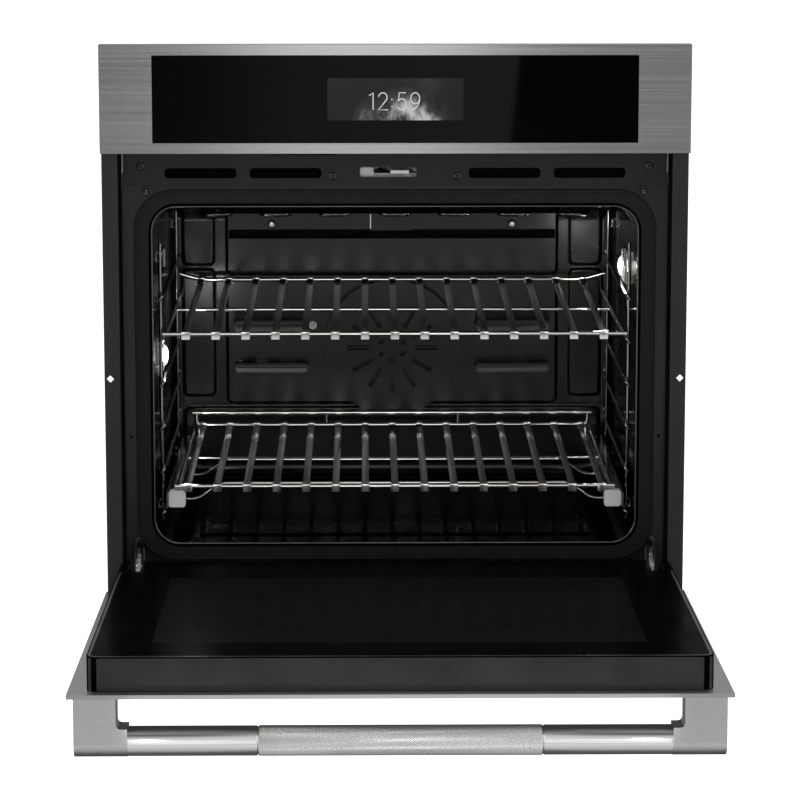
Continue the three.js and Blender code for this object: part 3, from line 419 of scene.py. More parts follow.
LOOKS = (
    (GALVANISED, ("base_pan", "top_cover", "back_panel", "blower_housing", "inlet_plate", "latch_base",
                  *both("side_panel"))),
    (WOOL, ("insulation_wrap",)),
    (FRONT_ENAMEL, ("front_frame",)),
    (SATIN, ("vent_trim",)),
    (CHARCOAL, ("bottom_trim", *both("side_trim"))),
    (STAINLESS, ("control_fascia",)),
    (GLASS, ("panel_glass", "outer_glass")),
    (PLASTIC, ("panel_holder", "display_module")),
    (BOARD, ("control_board", "relay_board")),
    (ALUMINIUM, ("blower_wheel",)),
    (MOTOR, ("blower_motor", "convection_motor")),
    (WRAPPER, ("cavity_wrapper",)),
    (ENAMEL_BACK, ("cavity_back", "back_shield", "fan_cover")),
    (FAN_STEEL, ("convection_fan",)),
    (SHEATH, ("broil_element", "bake_element")),
    (GUIDE, ("temperature_sensor", *both("rack_guide"))),
    (CHROME, ("upper_rack", "lower_rack", "glide_frame", "latch_hook", *both("hinge_lock"))),
    (BRIGHT, ("handle_bar", "handle_grip", *both("glide_rail"))),
    (CAP, both("glide_cap")),
    (RUBBER, ("door_gasket", *both("bumper"))),
    (HINGE_STEEL, (*both("hinge_arm"), *both("hinge_body"))),
    (STAINLESS_DOOR, ("door_skin",)),
    (LINER, ("door_liner",)),
    (DOOR_GLASS, ("inner_glass",)),
    (STAINLESS_CAP, both("handle_cap")),
)
# Width in millimetres and segments of the rounding along the nodes' edges.
FINE_EDGE = (0.3, 1)
EDGES = (
    ((0.3, 2), both("side_trim")),
    ((0.4, 2), ("front_frame",)),
    ((0.5, 2), ("control_fascia", "door_skin", "panel_glass", "cavity_wrapper", "vent_trim",
                *both("handle_cap"), *both("hinge_lock"))),
    ((0.6, 2), ("fan_cover",)),
    ((0.8, 2), ("inner_glass", "door_gasket")),
    ((1.2, 2), ("back_shield",)),
    ((1.4, 3), both("glide_cap")),
    ((1.6, 3), ("cavity_back",)),
    ((2.6, 3), ("door_liner",)),
)
BEVELS = {name: edge for edge, names in EDGES for name in names}


def paint(obj, material):
    obj.data.materials.clear()
    obj.data.materials.append(material)


def soften(obj, width, segments):
    """Rounds the sharp edges and keeps the flats flat."""
    bevel = obj.modifiers.new("edge", "BEVEL")
    bevel.width = width * MM
    bevel.segments = segments
    bevel.limit_method = "ANGLE"
    bevel.angle_limit = math.radians(32)
    bevel.harden_normals = False
    normals = obj.modifiers.new("normals", "WEIGHTED_NORMAL")
    normals.keep_sharp = False
    normals.weight = 80


def dress(node, look, width, segments):
    """Gives a frame node its material, smooth shading and rounded edges."""
    paint(node, look)
    for polygon in node.data.polygons:
        polygon.use_smooth = True
    soften(node, width, segments)


for look, names in LOOKS:
    for node_name in names:
        dress(NODES[node_name], look, *BEVELS.get(node_name, FINE_EDGE))


# ---- mesh helpers
SHARP_ANGLE = math.radians(50)  # edges that turn by more stay crisp


def oval(a, b, steps):
    """Points evenly around an oval with half axes a and b."""
    turns = [2 * math.pi * i / steps for i in range(steps)]
    return [(a * math.cos(t), b * math.sin(t)) for t in turns]


class Form:
    """Collects the faces of one piece in millimetres, then makes it an object."""

    def __init__(self):
        self.verts = []
        self.faces = []

    def add(self, verts, faces):
        start = len(self.verts)
        self.verts.extend(Vector(v) for v in verts)
        self.faces.extend(tuple(start + i for i in f) for f in faces)
        return self

    def rings(self, rings, closed=False, caps=True):
        """Joins rings of points that all have the same length."""
        n = len(rings[0])
        verts = [p for ring in rings for p in ring]
        faces = []
        last = len(rings) if closed else len(rings) - 1
        for i in range(last):
            a = i * n
            b = ((i + 1) % len(rings)) * n
            for j in range(n):
                k = (j + 1) % n
                faces.append((a + j, a + k, b + k, b + j))
        if caps and not closed:
            faces.append(tuple(range(n - 1, -1, -1)))
            faces.append(tuple((len(rings) - 1) * n + j for j in range(n)))
        return self.add(verts, faces)

    def sweep(self, path, section, closed=False, up=Vector((0, 0, 1))):
        """Carries a section of (side, up) offsets along a path without twist."""
        pts = [Vector(p) for p in path]
        count = len(pts)
        rings = []
        side = None
        for i, p in enumerate(pts):
            if closed:
                t = (pts[(i + 1) % count] - pts[i - 1]).normalized()
            else:
                t = (pts[min(i + 1, count - 1)] - pts[max(i - 1, 0)]).normalized()
            if side is None:
                side = t.cross(up)
                if side.length < 1e-4:
                    side = t.cross(Vector((0, 1, 0)))
            side = (side - t * side.dot(t)).normalized()
            top = side.cross(t)
            rings.append([p + side * a + top * b for a, b in section])
        return self.rings(rings, closed, not closed)

    def tube(self, path, radius, sides, closed=False):
        """A round wire or rod along a path."""
        return self.sweep(path, oval(radius, radius, sides), closed)

    def lathe(self, profile, origin, axis, steps):
        """Turns (along, radius) points about an axis through origin."""
        axis = Vector(axis).normalized()
        u = axis.orthogonal().normalized()
        w = axis.cross(u)
        rings = []
        for along, radius in profile:
            centre = Vector(origin) + axis * along
            rings.append([centre + (u * a + w * b) * radius for a, b in oval(1, 1, steps)])
        return self.rings(rings)

    def block(self, corner, opposite):
        """A plate or bar between two opposite corners, given in either order."""
        (x0, x1), (y0, y1), (z0, z1) = (sorted(pair) for pair in zip(corner, opposite))
        base = [(x0, y0), (x1, y0), (x1, y1), (x0, y1)]
        return self.rings([[(x, y, z) for x, y in base] for z in (z0, z1)])

    def turned(self, matrix):
        """Moves all the points made so far by a matrix."""
        self.verts = [matrix @ v for v in self.verts]
        return self

    def mirrored(self):
        """The same form on the other side of the middle."""
        made = Form()
        made.verts = [Vector((-v.x, v.y, v.z)) for v in self.verts]
        made.faces = [tuple(reversed(f)) for f in self.faces]
        return made

    def piece(self, name, body, material, slot, stands_for=(), edge=None, smooth=True):
        """Makes the object, which rides on a body and may stand for CAD nodes."""
        mesh = bpy.data.meshes.new(name)
        mesh.from_pydata([v * MM for v in self.verts], [], self.faces)
        mesh.validate()
        mesh.update()
        obj = add_object(name, mesh)
        for polygon in mesh.polygons:
            polygon.use_smooth = smooth
        if smooth:
            mesh.set_sharp_from_angle(angle=SHARP_ANGLE)
        paint(obj, material)
        if edge:
            soften(obj, *edge)
        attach(obj, body)
        if stands_for:
            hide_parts(*stands_for)
        return obj


def bend(points, radius, steps):
    """Rounds the corners of an open path."""
    pts = [Vector(p) for p in points]
    out = [pts[0]]
    for a, b, c in zip(pts, pts[1:], pts[2:]):
        back = a - b
        ahead = c - b
        cut = min(radius, back.length * 0.49, ahead.length * 0.49)
        p = b + back.normalized() * cut
        q = b + ahead.normalized() * cut
        for i in range(steps + 1):
            t = i / steps
            out.append(p * (1 - t) ** 2 + b * 2 * t * (1 - t) + q * t ** 2)
    out.append(pts[-1])
    return out


def rounded(x0, x1, z0, z1, r, y, steps=8):
    """A rounded rectangle in a plane of constant y, as 3-D points."""
    out = []
    corners = ((x1 - r, z1 - r, 0), (x0 + r, z1 - r, 90), (x0 + r, z0 + r, 180), (x1 - r, z0 + r, 270))
    for cx, cz, start in corners:
        for i in range(steps + 1):
            a = math.radians(start + 90 * i / steps)
            out.append((cx + r * math.cos(a), y, cz + r * math.sin(a)))
    return out


# ---- racks
def strip_section(width, thick, crown):
    """A thin crowned strip, rounded at its sides."""
    half = width / 2
    top = []
    for i in range(7):
        t = -1 + i / 3
        top.append((t * half, thick / 2 + crown * (1 - t * t)))
    low = [(x * 0.96, z - thick) for x, z in reversed(top)]
    return top + low


SLAT_W = 9.4
SLAT = strip_section(SLAT_W, 1.2, 0.5)


def rack_slat(form, x, z, back_z):
    """One pressed cross bar, crimped over the front wire and hung on the back wire."""
    path = [
        (x, RACK_F + 2.0, z + 3.4),
        (x, RACK_F + 9.0, z + 3.0),
        (x, RACK_B - 22, z * 0.3 + back_z * 0.7 + 1.6),
        (x, RACK_B - 4.4, back_z + 1.4),
    ]
    form.sweep(bend(path, 5.0, 5), SLAT)
    crimps = ((RACK_F, -4.6, z, SLAT_W + 1.8, 6.4), (RACK_B, 4.6, back_z, SLAT_W, 5.2))
    for y, reach, low, width, drop in crimps:
        clip = [
            (x, y + reach, low - drop),
            (x, y + reach, low + 4.2),
            (x, y - reach, low + 4.2),
            (x, y - reach, low - drop * 0.8),
        ]
        form.sweep(bend(clip, 2.4, 6), strip_section(width, 1.3, 0.2))


def across(half, y, z):
    """A straight wire from side to side."""
    return [(-half, y, z), (0, y, z), (half, y, z)]


def upper_rack():
    form = Form()
    z = UPPER_Z
    for i in range(SLATS):
        rack_slat(form, (i - (SLATS - 1) / 2) * UPPER_PITCH, z, UPPER_REAR)
    form.tube([(UPPER_END * i / 10, RACK_F, z) for i in range(-10, 11)], 3.25, 16)
    for x in (-UPPER_HALF, UPPER_HALF):
        rail = [(x, RACK_F, z), (x, RACK_B - 24, z), (x, RACK_B - 4, UPPER_REAR + 2)]
        form.tube(bend(rail, 10, 6), 3.0, 14)
    # The back wire's ends rise towards the cavity's walls.
    rear = [(-UPPER_END, 8.5), (5 - UPPER_END, 7), (30 - UPPER_END, 0)]
    rear += [(-x, rise) for x, rise in reversed(rear)]
    form.tube(bend([(x, RACK_B, UPPER_REAR + rise) for x, rise in rear], 12, 6), 3.25, 16)
    form.tube(across(UPPER_HALF, UPPER_MID_Y, z - 2.6), 2.9, 12)
    form.piece("upper_rack_wire", "upper_rack", CHROME, "chrome_wire", ["upper_rack"])


def lower_rack():
    form = Form()
    z = LOWER_Z
    for i in range(SLATS):
        x = (i - (SLATS - 1) / 2) * LOWER_PITCH
        rack_slat(form, x, z, LOWER_REAR)
        form.sweep([(x, 376, z + 3.5), (x, 386, z + 3.5)], strip_section(9.0, 1.0, 0.5))
    form.tube(across(LOWER_HALF + 5, RACK_F, z), 3.0, 16)
    for side in (-1, 1):
        x = side * LOWER_HALF
        form.tube([(x, RACK_F, z), (x, 250, z), (x, RACK_B - 12, z + 1)], 3.0, 14)
        turn = side * (LOWER_HALF - 3)
        corner = [(side * 200, LOWER_REAR), (turn, LOWER_REAR), (turn, LOWER_STOP)]
        form.tube(bend([(x, RACK_B, h) for x, h in corner], 14, 8), 3.0, 14)
        form.tube([(side * 96, RACK_B, h) for h in (LOWER_REAR, LOWER_STOP)], 2.4, 12)
    form.tube(across(210, RACK_B, LOWER_REAR), 3.0, 14)
    form.tube(across(LOWER_HALF + 3, RACK_B, LOWER_STOP), 3.0, 14)
    form.tube(across(LOWER_HALF, LOWER_MID_Y, z - 2.4), 2.6, 12)
    form.piece("lower_rack_wire", "lower_rack", CHROME, "chrome_wire", ["lower_rack"])


def glide_frame():
    form = Form()
    z0, z1 = 121.0, 141.0
    shelf = 124.0
    for side in (-1, 1):
        near = side * GLIDE_IN
        far = side * GLIDE_OUT
        form.block((near, GLIDE_F, z0), (far, GLIDE_B, z0 + 1.2))
        form.block((near, GLIDE_F, z1 - 1.2), (far, GLIDE_B, z1))
        form.block((near, GLIDE_F, z0), (near + side * 2, GLIDE_B, z1))
        form.block((near + side * 6, GLIDE_F, shelf), (far, GLIDE_B, shelf + 1.2))
    for y in GLIDE_WIRES_Y:
        half = [(-GLIDE_IN - 2, y, shelf), (-264, y, shelf), (-236, y, LOWER_Z - 1.6)]
        path = half + [(-x, y, z) for x, y, z in reversed(half)]
        form.tube(bend(path, 12, 6), 2.5, 14)
    form.piece("glide_frame_wire", "lower_rack", CHROME, "chrome_wire", ["glide_frame"])


def rack_guide():
    """The right wall's ladder: two posts with wall loops, the level wires and a stop."""
    form = Form()
    for post in GUIDE_POSTS_Y:
        form.tube([(GUIDE_X, post, z) for z in (98, 285, 472)], 2.4, 12)
        for z0, z1 in ((449, 461), (116, 126)):
            loop = [(GUIDE_X + 0.6, z0), (CAVITY_HALF - 1, z0), (CAVITY_HALF - 1, z1), (GUIDE_X + 0.6, z1)]
            for y in (post - 5, post + 5):
                form.tube(bend([(x, y, z) for x, z in loop], 1.5, 3), 0.9, 8)
    for i in range(LEVELS):
        z = LEVEL_Z0 + i * LEVEL_PITCH
        path = [(312, 50, z - 6), (307.4, 50, z - 0.3), (307.4, 456, z - 0.3), (312, 456, z + 8)]
        form.tube(bend(path, 5, 5), 2.5, 12)
    form.block((306, 96, 438), (309.6, 116, 462))
    form.block((308, 66, 457), (312, 116, 461))
    return form


upper_rack()
lower_rack()
glide_frame()
for side, form in (("right", rack_guide()), ("left", rack_guide().mirrored())):
    form.piece("rack_guide_wire_" + side, "chassis", GUIDE, "chrome_wire", ["rack_guide_" + side])


# ---- heating elements
def serpentine(name, node, legs, pitch, y0, y1, z, exit_y):
    """A bent rod in one plane, its two ends going back through the rear wall."""
    half = (legs - 1) * pitch / 2
    path = []
    for i in range(legs):
        x = -half + i * pitch
        front = (x, y0, z)
        back = (x, y1, z)
        if i == 0:
            path += [(x, exit_y, z), front]
        elif i == legs - 1:
            path += [front, (x, exit_y, z)]
        else:
            path += [front, back] if i % 2 else [back, front]
    form = Form().tube(bend(path, pitch * 0.49, 8), ELEMENT_R, 14)
    form.piece(name, "chassis", SHEATH, "element_sheath", [node])


serpentine("broil_tube", "broil_element", legs=14, pitch=39.5, y0=80, y1=440, z=510, exit_y=510)
serpentine("bake_tube", "bake_element", legs=4, pitch=130, y0=90, y1=430, z=65, exit_y=508)


# ---- handle
def handle():
    """The bar, necked in where the grip's sleeve covers it."""
    step = [
        (BAR_HALF, HANDLE_R),
        (GRIP_HALF + 1.9, HANDLE_R),
        (GRIP_HALF + 1.1, HANDLE_R - 0.9),
        (GRIP_HALF + 0.4, HANDLE_R - 1.4),
    ]
    profile = [(-x, r) for x, r in step] + list(reversed(step))
    bar = Form().lathe(profile, (0, HANDLE_Y, HANDLE_Z), (1, 0, 0), 96).turned(DOOR_TURN)
    bar.piece("handle_tube", "door", BRIGHT, "stainless_bright", ["handle_bar"])


def knurl():
    """Diamond knurling: two crossed spiral cuts leave rows of small pyramids."""
    around = 42
    per_cell = 4
    depth = 0.62
    proud = 0.28  # the points stand this much above the bar
    chamfer = 1.2
    pitch = 2 * math.pi * HANDLE_R / around
    steps = around * per_cell
    length = 2 * GRIP_HALF
    rows = round(length / pitch * per_cell)
    rings = []
    for i in range(rows + 1):
        x = -length / 2 + length * i / rows
        ring = []
        for j in range(steps):
            a = j / per_cell
            b = x / pitch
            u = abs(((a + b) % 1.0) - 0.5) * 2
            v = abs(((a - b) % 1.0) - 0.5) * 2
            cut = depth * max(0.0, 1.0 - 1.6 * min(1 - u, 1 - v))
            edge = min(1.0, (GRIP_HALF - abs(x)) / chamfer)
            r = HANDLE_R + proud - cut * edge - 0.35 * (1 - edge)
            t = 2 * math.pi * j / steps
            ring.append((x, HANDLE_Y + r * math.cos(t), HANDLE_Z + r * math.sin(t)))
        rings.append(ring)
    form = Form().rings(rings).turned(DOOR_TURN)
    form.piece("knurled_grip", "door", KNURL, "stainless_bright", ["handle_grip"], smooth=False)


handle()
knurl()


def handle_cap():
    """The arm at one end: a block that ends in a half circle which follows the bar."""
    outer, inner, foot = 373.5, 325.0, 312.0
    near = HANDLE_Y + HANDLE_END_R
    top = FACE_Y - 0.3
    fillet = bend([(inner, top, 0), (inner, near, 0), (foot, near, 0)], 8, 8)
    steps = 24
    rings = []
    for i in range(steps + 1):
        a = math.pi * (i / steps - 0.5)
        far = HANDLE_Y - HANDLE_END_R * max(math.cos(a), 0.001)
        z = HANDLE_Z + HANDLE_END_R * math.sin(a)
        outline = [(outer, top)] + [(p.x, p.y) for p in fillet] + [(foot, far), (outer, far)]
        rings.append([(x, y, z) for x, y in outline])
    return Form().rings(rings)


for side, form in (("right", handle_cap()), ("left", handle_cap().mirrored())):
    form.turned(DOOR_TURN)
    node_name = "handle_cap_" + side
    form.piece("handle_end_" + side, "door", STAINLESS_CAP, "stainless", [node_name], edge=(0.7, 3))


# ---- display
DIGIT_H = 21.9
DIGIT_FOOT = 657.5
DIGIT_STARTS = (("1", -34.0), ("2", -22.2), ("5", 2.4), ("9", 19.4))
COLON_X = -4.6
SCREEN_BOX = (-87.5, 87.5, 644, 698)
SCREEN_Y = FACE_Y - 0.7  # in front of the black glass


def arc(cx, cz, rx, rz, start, end, steps=14):
    """Points along part of an oval, from one angle in degrees to another."""
    out = []
    for i in range(steps + 1):
        a = math.radians(start + (end - start) * i / steps)
        out.append((cx + rx * math.cos(a), cz + rz * math.sin(a)))
    return out


# Strokes of each digit, as parts of its height.
GLYPHS = {
    "1": [[(0.0, 0.83), (0.24, 1.0), (0.24, 0.0)]],
    "2": [arc(0.27, 0.73, 0.25, 0.27, 172, -38) + [(0.02, 0.0), (0.56, 0.0)]],
    "5": [[(0.5, 1.0), (0.11, 1.0), (0.06, 0.52)] + arc(0.27, 0.32, 0.26, 0.32, 128, -148)],
    "9": [arc(0.27, 0.68, 0.26, 0.32, -18, 342, 24), arc(0.02, 0.68, 0.51, 0.68, 0, -84, 12)],
}


def digits():
    form = Form()
    y = SCREEN_Y - 0.08
    for glyph, x0 in DIGIT_STARTS:
        for stroke in GLYPHS[glyph]:
            path = [(x0 + px * DIGIT_H, y, DIGIT_FOOT + pz * DIGIT_H) for px, pz in stroke]
            form.sweep(path, oval(0.7, 0.06, 8), up=Vector((0, 1, 0)))
    for dz in (0.2, 0.62):
        form.lathe([(0, 0.9), (0.1, 0.75)], (COLON_X, y, DIGIT_FOOT + dz * DIGIT_H), (0, -1, 0), 16)
    form.piece("clock_digits", "chassis", DIGITS, "black_glass")


def glow(name, color, strength):
    """Lit strokes whose light drifts a little along them."""
    s = Shader(name, (0.02, 0.02, 0.02), 0.3)
    lit = s.ramp(s.noise(60, 3), [(0.2, tuple(c * 0.85 for c in color)), (0.8, color)])
    s.feed(lit, "Emission Color")
    s.set("Emission Strength", strength)
    return s.mat


def screen_look():
    """A dark picture with a pale cloud and a fainter plume rising from the lower middle."""
    cloud_x, cloud_z, plume_x = 0.004, 0.642, 0.042  # metres
    s = Shader("screen", (0.004, 0.004, 0.005), 0.12)
    parts = s.node("ShaderNodeSeparateXYZ")
    s.link(s.coords, parts.inputs["Vector"])
    x = s.math("MULTIPLY", s.math("SUBTRACT", parts.outputs["X"], cloud_x), 19.0)
    z = s.math("MULTIPLY", s.math("SUBTRACT", parts.outputs["Z"], cloud_z), 26.0)
    far = s.math("ADD", s.math("MULTIPLY", x, x), s.math("MULTIPLY", z, z))
    body = s.span(far, 0.0, 1.5, 1.0, 0.0)
    aside = s.math("MULTIPLY", s.math("SUBTRACT", parts.outputs["X"], plume_x), 34.0)
    plume = s.span(s.math("MULTIPLY", aside, aside), 0.0, 1.4, 0.34, 0.0)
    smoke = s.span(s.noise(30, 6, (1, 1, 0.6), 0.6), 0.34, 0.7, 0.1, 1.2)
    amount = s.math("MULTIPLY", s.math("ADD", body, plume), smoke)
    stops = [(0.0, (0.004, 0.004, 0.0052)), (0.35, (0.022, 0.022, 0.024)), (1.0, (0.5, 0.5, 0.51))]
    color = s.ramp(amount, stops, True)
    s.feed(color, "Emission Color")
    s.set("Emission Strength", 1.0)
    return s.mat


DIGITS = glow("digit_light", (0.86, 0.87, 0.9), 0.75)
SCREEN = screen_look()
digits()
panes = [rounded(*SCREEN_BOX, 0.8, y) for y in (SCREEN_Y + 0.08, SCREEN_Y)]
Form().rings(panes).piece("screen", "chassis", SCREEN, "black_glass", smooth=False)


# ---- lamps
def lens_look():
    """Clear pressed glass with fine ribs."""
    s = Shader("lamp_glass", (0.92, 0.92, 0.88), 0.08, 0.0, Transmission_Weight=0.75, IOR=1.47)
    ribs = s.noise(1.0, 1, (1, 260, 60))
    s.tint(s.noise(40, 2), 0.3, 0.7, 0.94, 1.05)
    s.bump(ribs, 0.5, 0.002)
    return s.mat


def bulb_look(y, z):
    """Lit glass, white at the middle of its dome and falling off to the rim."""
    s = Shader("lamp_light", (0.5, 0.5, 0.48), 0.15)
    parts = s.node("ShaderNodeSeparateXYZ")
    s.link(s.coords, parts.inputs["Vector"])
    dy = s.math("SUBTRACT", parts.outputs["Y"], y * MM)
    dz = s.math("SUBTRACT", parts.outputs["Z"], z * MM)
    far = s.math("SQRT", s.math("ADD", s.math("MULTIPLY", dy, dy), s.math("MULTIPLY", dz, dz)))
    drift = s.span(s.noise(140, 3), 0.3, 0.7, 0.85, 1.1)
    heat = s.math("MULTIPLY", s.span(far, 0.002, 0.012, 1.0, 0.04), drift)
    lit = s.ramp(heat, [(0.0, (0.02, 0.02, 0.019)), (1.0, (1.0, 0.98, 0.94))])
    s.feed(lit, "Emission Color")
    s.set("Emission Strength", 7.0)
    return s.mat


LENS = lens_look()
LAMPS = ((-1, 130.0, 313.0, "left"), (1, 180.0, 427.0, "right"))
LAMP_POWER = 0.24
DOME_R = 14.5
DOME_H = 6.0
DOME_X = 311.4
for side, y, z, word in LAMPS:
    dress(NODES["lamp_lens_" + word], LENS, 1.6, 3)
    dome = [(0.0, DOME_R)]
    for i in range(1, 13):
        a = math.radians(90 * i / 12)
        dome.append((-side * DOME_H * math.sin(a), max(0.3, DOME_R * math.cos(a))))
    bulb = Form().lathe(dome, (side * DOME_X, y, z), (1, 0, 0), 32)
    bulb.piece("lamp_bulb_" + word, "chassis", bulb_look(y, z), "clear_glass")
    data = bpy.data.lights.new("lamp_" + word, "POINT")
    data.energy = LAMP_POWER
    data.color = (1.0, 0.97, 0.92)
    data.shadow_soft_size = 0.01
    lamp = add_object("lamp_" + word, data)
    lamp.location = (side * 0.283, y * MM, z * MM)


# ---- cavity back wall
def ease(t):
    """0 below 0, 1 above 1 and a soft step between."""
    t = min(1.0, max(0.0, t))
    return t * t * (3 - 2 * t)


def inside(x, z, box, r):
    """How deep a point lies inside a rounded rectangle, in millimetres."""
    x0, x1, z0, z1 = box
    dx = abs(x - (x0 + x1) / 2) - (x1 - x0) / 2 + r
    dz = abs(z - (z0 + z1) / 2) - (z1 - z0) / 2 + r
    return r - math.hypot(max(dx, 0), max(dz, 0)) - min(max(dx, dz), 0)


# Box, corner radius and rise of each raised panel.
BACK_PANELS = [
    ((-242, 242, 371.5, 512), 9, 2.6), ((-242, 242, 181, 367.5), 9, 2.6),
    ((259, 306, 386, 520), 9, 5.0), ((-306, -259, 386, 520), 9, 5.0),
    ((259, 306, 192, 381), 9, 5.0), ((-306, -259, 192, 381), 9, 5.0),
    ((-306, 306, 92, 176), 12, 4.0),
]
BEAD_ROWS = ((296, 306.5), (233.5, 243))
BACK_BEADS = [(x - 55.5, x + 55.5, z0, z1) for x in (-176.5, 176.5) for z0, z1 in BEAD_ROWS]
BEAD_R = 4.6
BEAD_DEPTH = 1.3
COVE_Z = 450.0
COVE_R = 20.0
COVE_TILT = math.radians(35)
RIM_CURL = 10.0


def back_height(x, z):
    """How far the back wall stands forward of its base sheet."""
    h = 0.0
    for box, r, rise in BACK_PANELS:
        h = max(h, rise * ease(inside(x, z, box, r) / 3.6 + 0.3))
    for box in BACK_BEADS:
        h -= BEAD_DEPTH * ease(inside(x, z, box, BEAD_R) / 2.2)
    # Above the hood the sheet leans forward to the roof.
    over = z - COVE_Z
    turn = COVE_R * math.sin(COVE_TILT)
    if over > turn:
        h += COVE_R * (1 - math.cos(COVE_TILT)) + (over - turn) * math.tan(COVE_TILT)
    elif over > 0:
        h += COVE_R - math.sqrt(COVE_R ** 2 - over ** 2)
    # The rim curls forward to meet the side walls, floor and roof.
    edge = inside(x, z, CAVITY, CAVITY_R)
    if edge < RIM_CURL:
        t = (RIM_CURL - max(edge, 0.0)) / RIM_CURL
        h = max(h * ease(edge / RIM_CURL), RIM_CURL * (1 - math.sqrt(max(0.0, 1 - t * t))))
    return h


def grid_lines(lo, hi, features):
    """Lines from lo to hi, close together near each feature and wide apart between them."""
    fine, coarse = 1.2, 16.0
    marks = {lo, hi}
    for f in features:
        marks.update(round(f + i * fine, 3) for i in range(-4, 5) if lo < f + i * fine < hi)
    out = []
    for m in sorted(marks):
        if out and m - out[-1] > coarse:
            steps = math.ceil((m - out[-1]) / coarse)
            first = out[-1]
            out += [first + (m - first) * k / steps for k in range(1, steps)]
        if not out or m - out[-1] > 0.4:
            out.append(m)
    return out


def back_wall():
    """The pressed rear sheet as a height field, left out beyond the cavity's rounded corners."""
    xs, zs = [], []
    for (x0, x1, z0, z1), _, _ in BACK_PANELS:
        xs += [x0 + 1, x1 - 1]
        zs += [z0 + 1, z1 - 1]
    for x0, x1, z0, z1 in BACK_BEADS:
        xs += [x0 + 2, x1 - 2]
        zs += [(z0 + z1) / 2]
    rim = CAVITY_HALF - 5
    xs = grid_lines(-CAVITY_HALF, CAVITY_HALF, xs + [-rim, rim])
    zs = grid_lines(CAVITY_Z0, CAVITY_Z1, zs + [COVE_Z + 5, COVE_Z + 10, CAVITY_Z0 + 5, CAVITY_Z1 - 5])
    verts = []
    keep = []
    for z in zs:
        for x in xs:
            verts.append((x, BACK_Y - 4.2 - back_height(x, z) * 0.9, z))
            keep.append(inside(x, z, CAVITY, CAVITY_R) > -0.8)
    n = len(xs)
    faces = []
    for j in range(len(zs) - 1):
        for i in range(n - 1):
            quad = (j * n + i, j * n + i + 1, (j + 1) * n + i + 1, (j + 1) * n + i)
            if all(keep[q] for q in quad):
                faces.append(quad)
    used = sorted({q for face in faces for q in face})
    spot = {q: k for k, q in enumerate(used)}
    form = Form().add([verts[q] for q in used], [tuple(spot[q] for q in face) for face in faces])
    wall = form.piece("back_wall_pressing", "chassis", ENAMEL_BACK, "black_enamel", ["cavity_back"])
    sheet = wall.modifiers.new("sheet", "SOLIDIFY")
    sheet.thickness = 1.6 * MM
    sheet.offset = -1


back_wall()


def opening_trim():
    """The rolled front edge of the cavity, in brighter metal as a painted highlight, and a black bead
    along the seal's outer edge as painted shade for its dark outline.
    """
    half = CAVITY_HALF + 0.6
    edge = rounded(-half, half, CAVITY_Z0 - 0.6, CAVITY_Z1 + 0.6, CAVITY_R + 0.6, 22.6, 10)
    Form().tube(edge, 1.2, 10, True).piece("cavity_lip_painted_bright", "chassis", LIP, "black_enamel")
    seal = rounded(-341.2, 341.2, 55.8, 548.2, 51.2, 23.4, 14)
    Form().tube(seal, 1.0, 8, True).piece("gasket_shade_bead", "chassis", RUBBER, "black_rubber")


opening_trim()


def vent_ducts():
    """Sheet metal ducts close off the slots of the trim on both sides of the latch; their matte deep black
    is painted shade, so the slots read as shadow.
    """
    form = Form()
    foot, near, far, sheet = 559.5, 30, 44, 1.2
    for x0, x1 in ((-346, -66), (56, 346)):
        form.block((x0, far, foot), (x1, far + sheet, 584))
        form.block((x0, near, foot), (x1, far, foot + sheet))
    form.piece("vent_ducts", "chassis", DEEP_BLACK, "satin_black", smooth=False, edge=(0.3, 1))


vent_ducts()


# ---- door liner edge
def liner_edge():
    """The turned-down rim of the door's inner pan: its sides, its end and the fillet over them, in a
    lighter, glossier copy of the pan's enamel painted to look lit.
    """
    foot = 96.0
    h = LINER_HALF
    path = bend([(-h, 0, foot), (-h, 0, LINER_TOP), (h, 0, LINER_TOP), (h, 0, foot)], 16, 10)
    near, far = -18.6, 18.2
    outer = [(0.25, near), (0.25, far)]
    inner = [(0.08, near), (0.08, far)]
    for i in range(1, 9):
        a = math.radians(90 * i / 8)
        outer.append((-2.8 + 3.05 * math.cos(a), far + 3.0 * math.sin(a)))
        inner.append((-2.8 + 2.88 * math.cos(a), far + 2.84 * math.sin(a)))
    outer.append((-4.6, 21.2))
    inner.append((-4.6, 21.04))
    form = Form().sweep(path, outer + list(reversed(inner)), up=Vector((0, 1, 0)))
    form.turned(DOOR_TURN).piece("liner_edge_band", "door", LINER_EDGE_LIT, "black_enamel")


liner_edge()


# ---- screws
def screw(form, x, y, z, radius, height):
    """A pan head with a six-lobed recess, facing -Y."""
    steps = 36
    head = ((0.0, 1.0, 0), (0.35, 1.0, 0), (0.8, 0.86, 0), (1.0, 0.62, 0))
    recess = ((1.0, 0.5, 0.14), (0.45, 0.44, 0.14), (0.4, 0.1, 0.14))
    rings = []
    for along, part, lobe in head + recess:
        ring = []
        for i in range(steps):
            a = 2 * math.pi * i / steps
            r = radius * part * (1 + lobe * math.cos(6 * a))
            ring.append((x + r * math.cos(a), y - along * height, z + r * math.sin(a)))
        rings.append(ring)
    form.rings(rings)


TRIM_SCREWS = ((-332, 580), (332, 580), (-81.5, 567), (81.5, 567))
TRIM_SEAT_Y = 24.4
HOOD_SCREW_X = 175
HOOD_SCREW_Z = 448
HOOD_SEAT_Y = 479.4

screws = Form()
for x, z in TRIM_SCREWS:
    screw(screws, x, TRIM_SEAT_Y, z, 5.4, 2.8)
screws.piece("trim_screws", "chassis", SCREW_BLACK, "satin_black")

hood_screws_and_highlight = Form()
for x in (-HOOD_SCREW_X, HOOD_SCREW_X):
    screw(hood_screws_and_highlight, x, HOOD_SEAT_Y, HOOD_SCREW_Z, 5.6, 3.0)
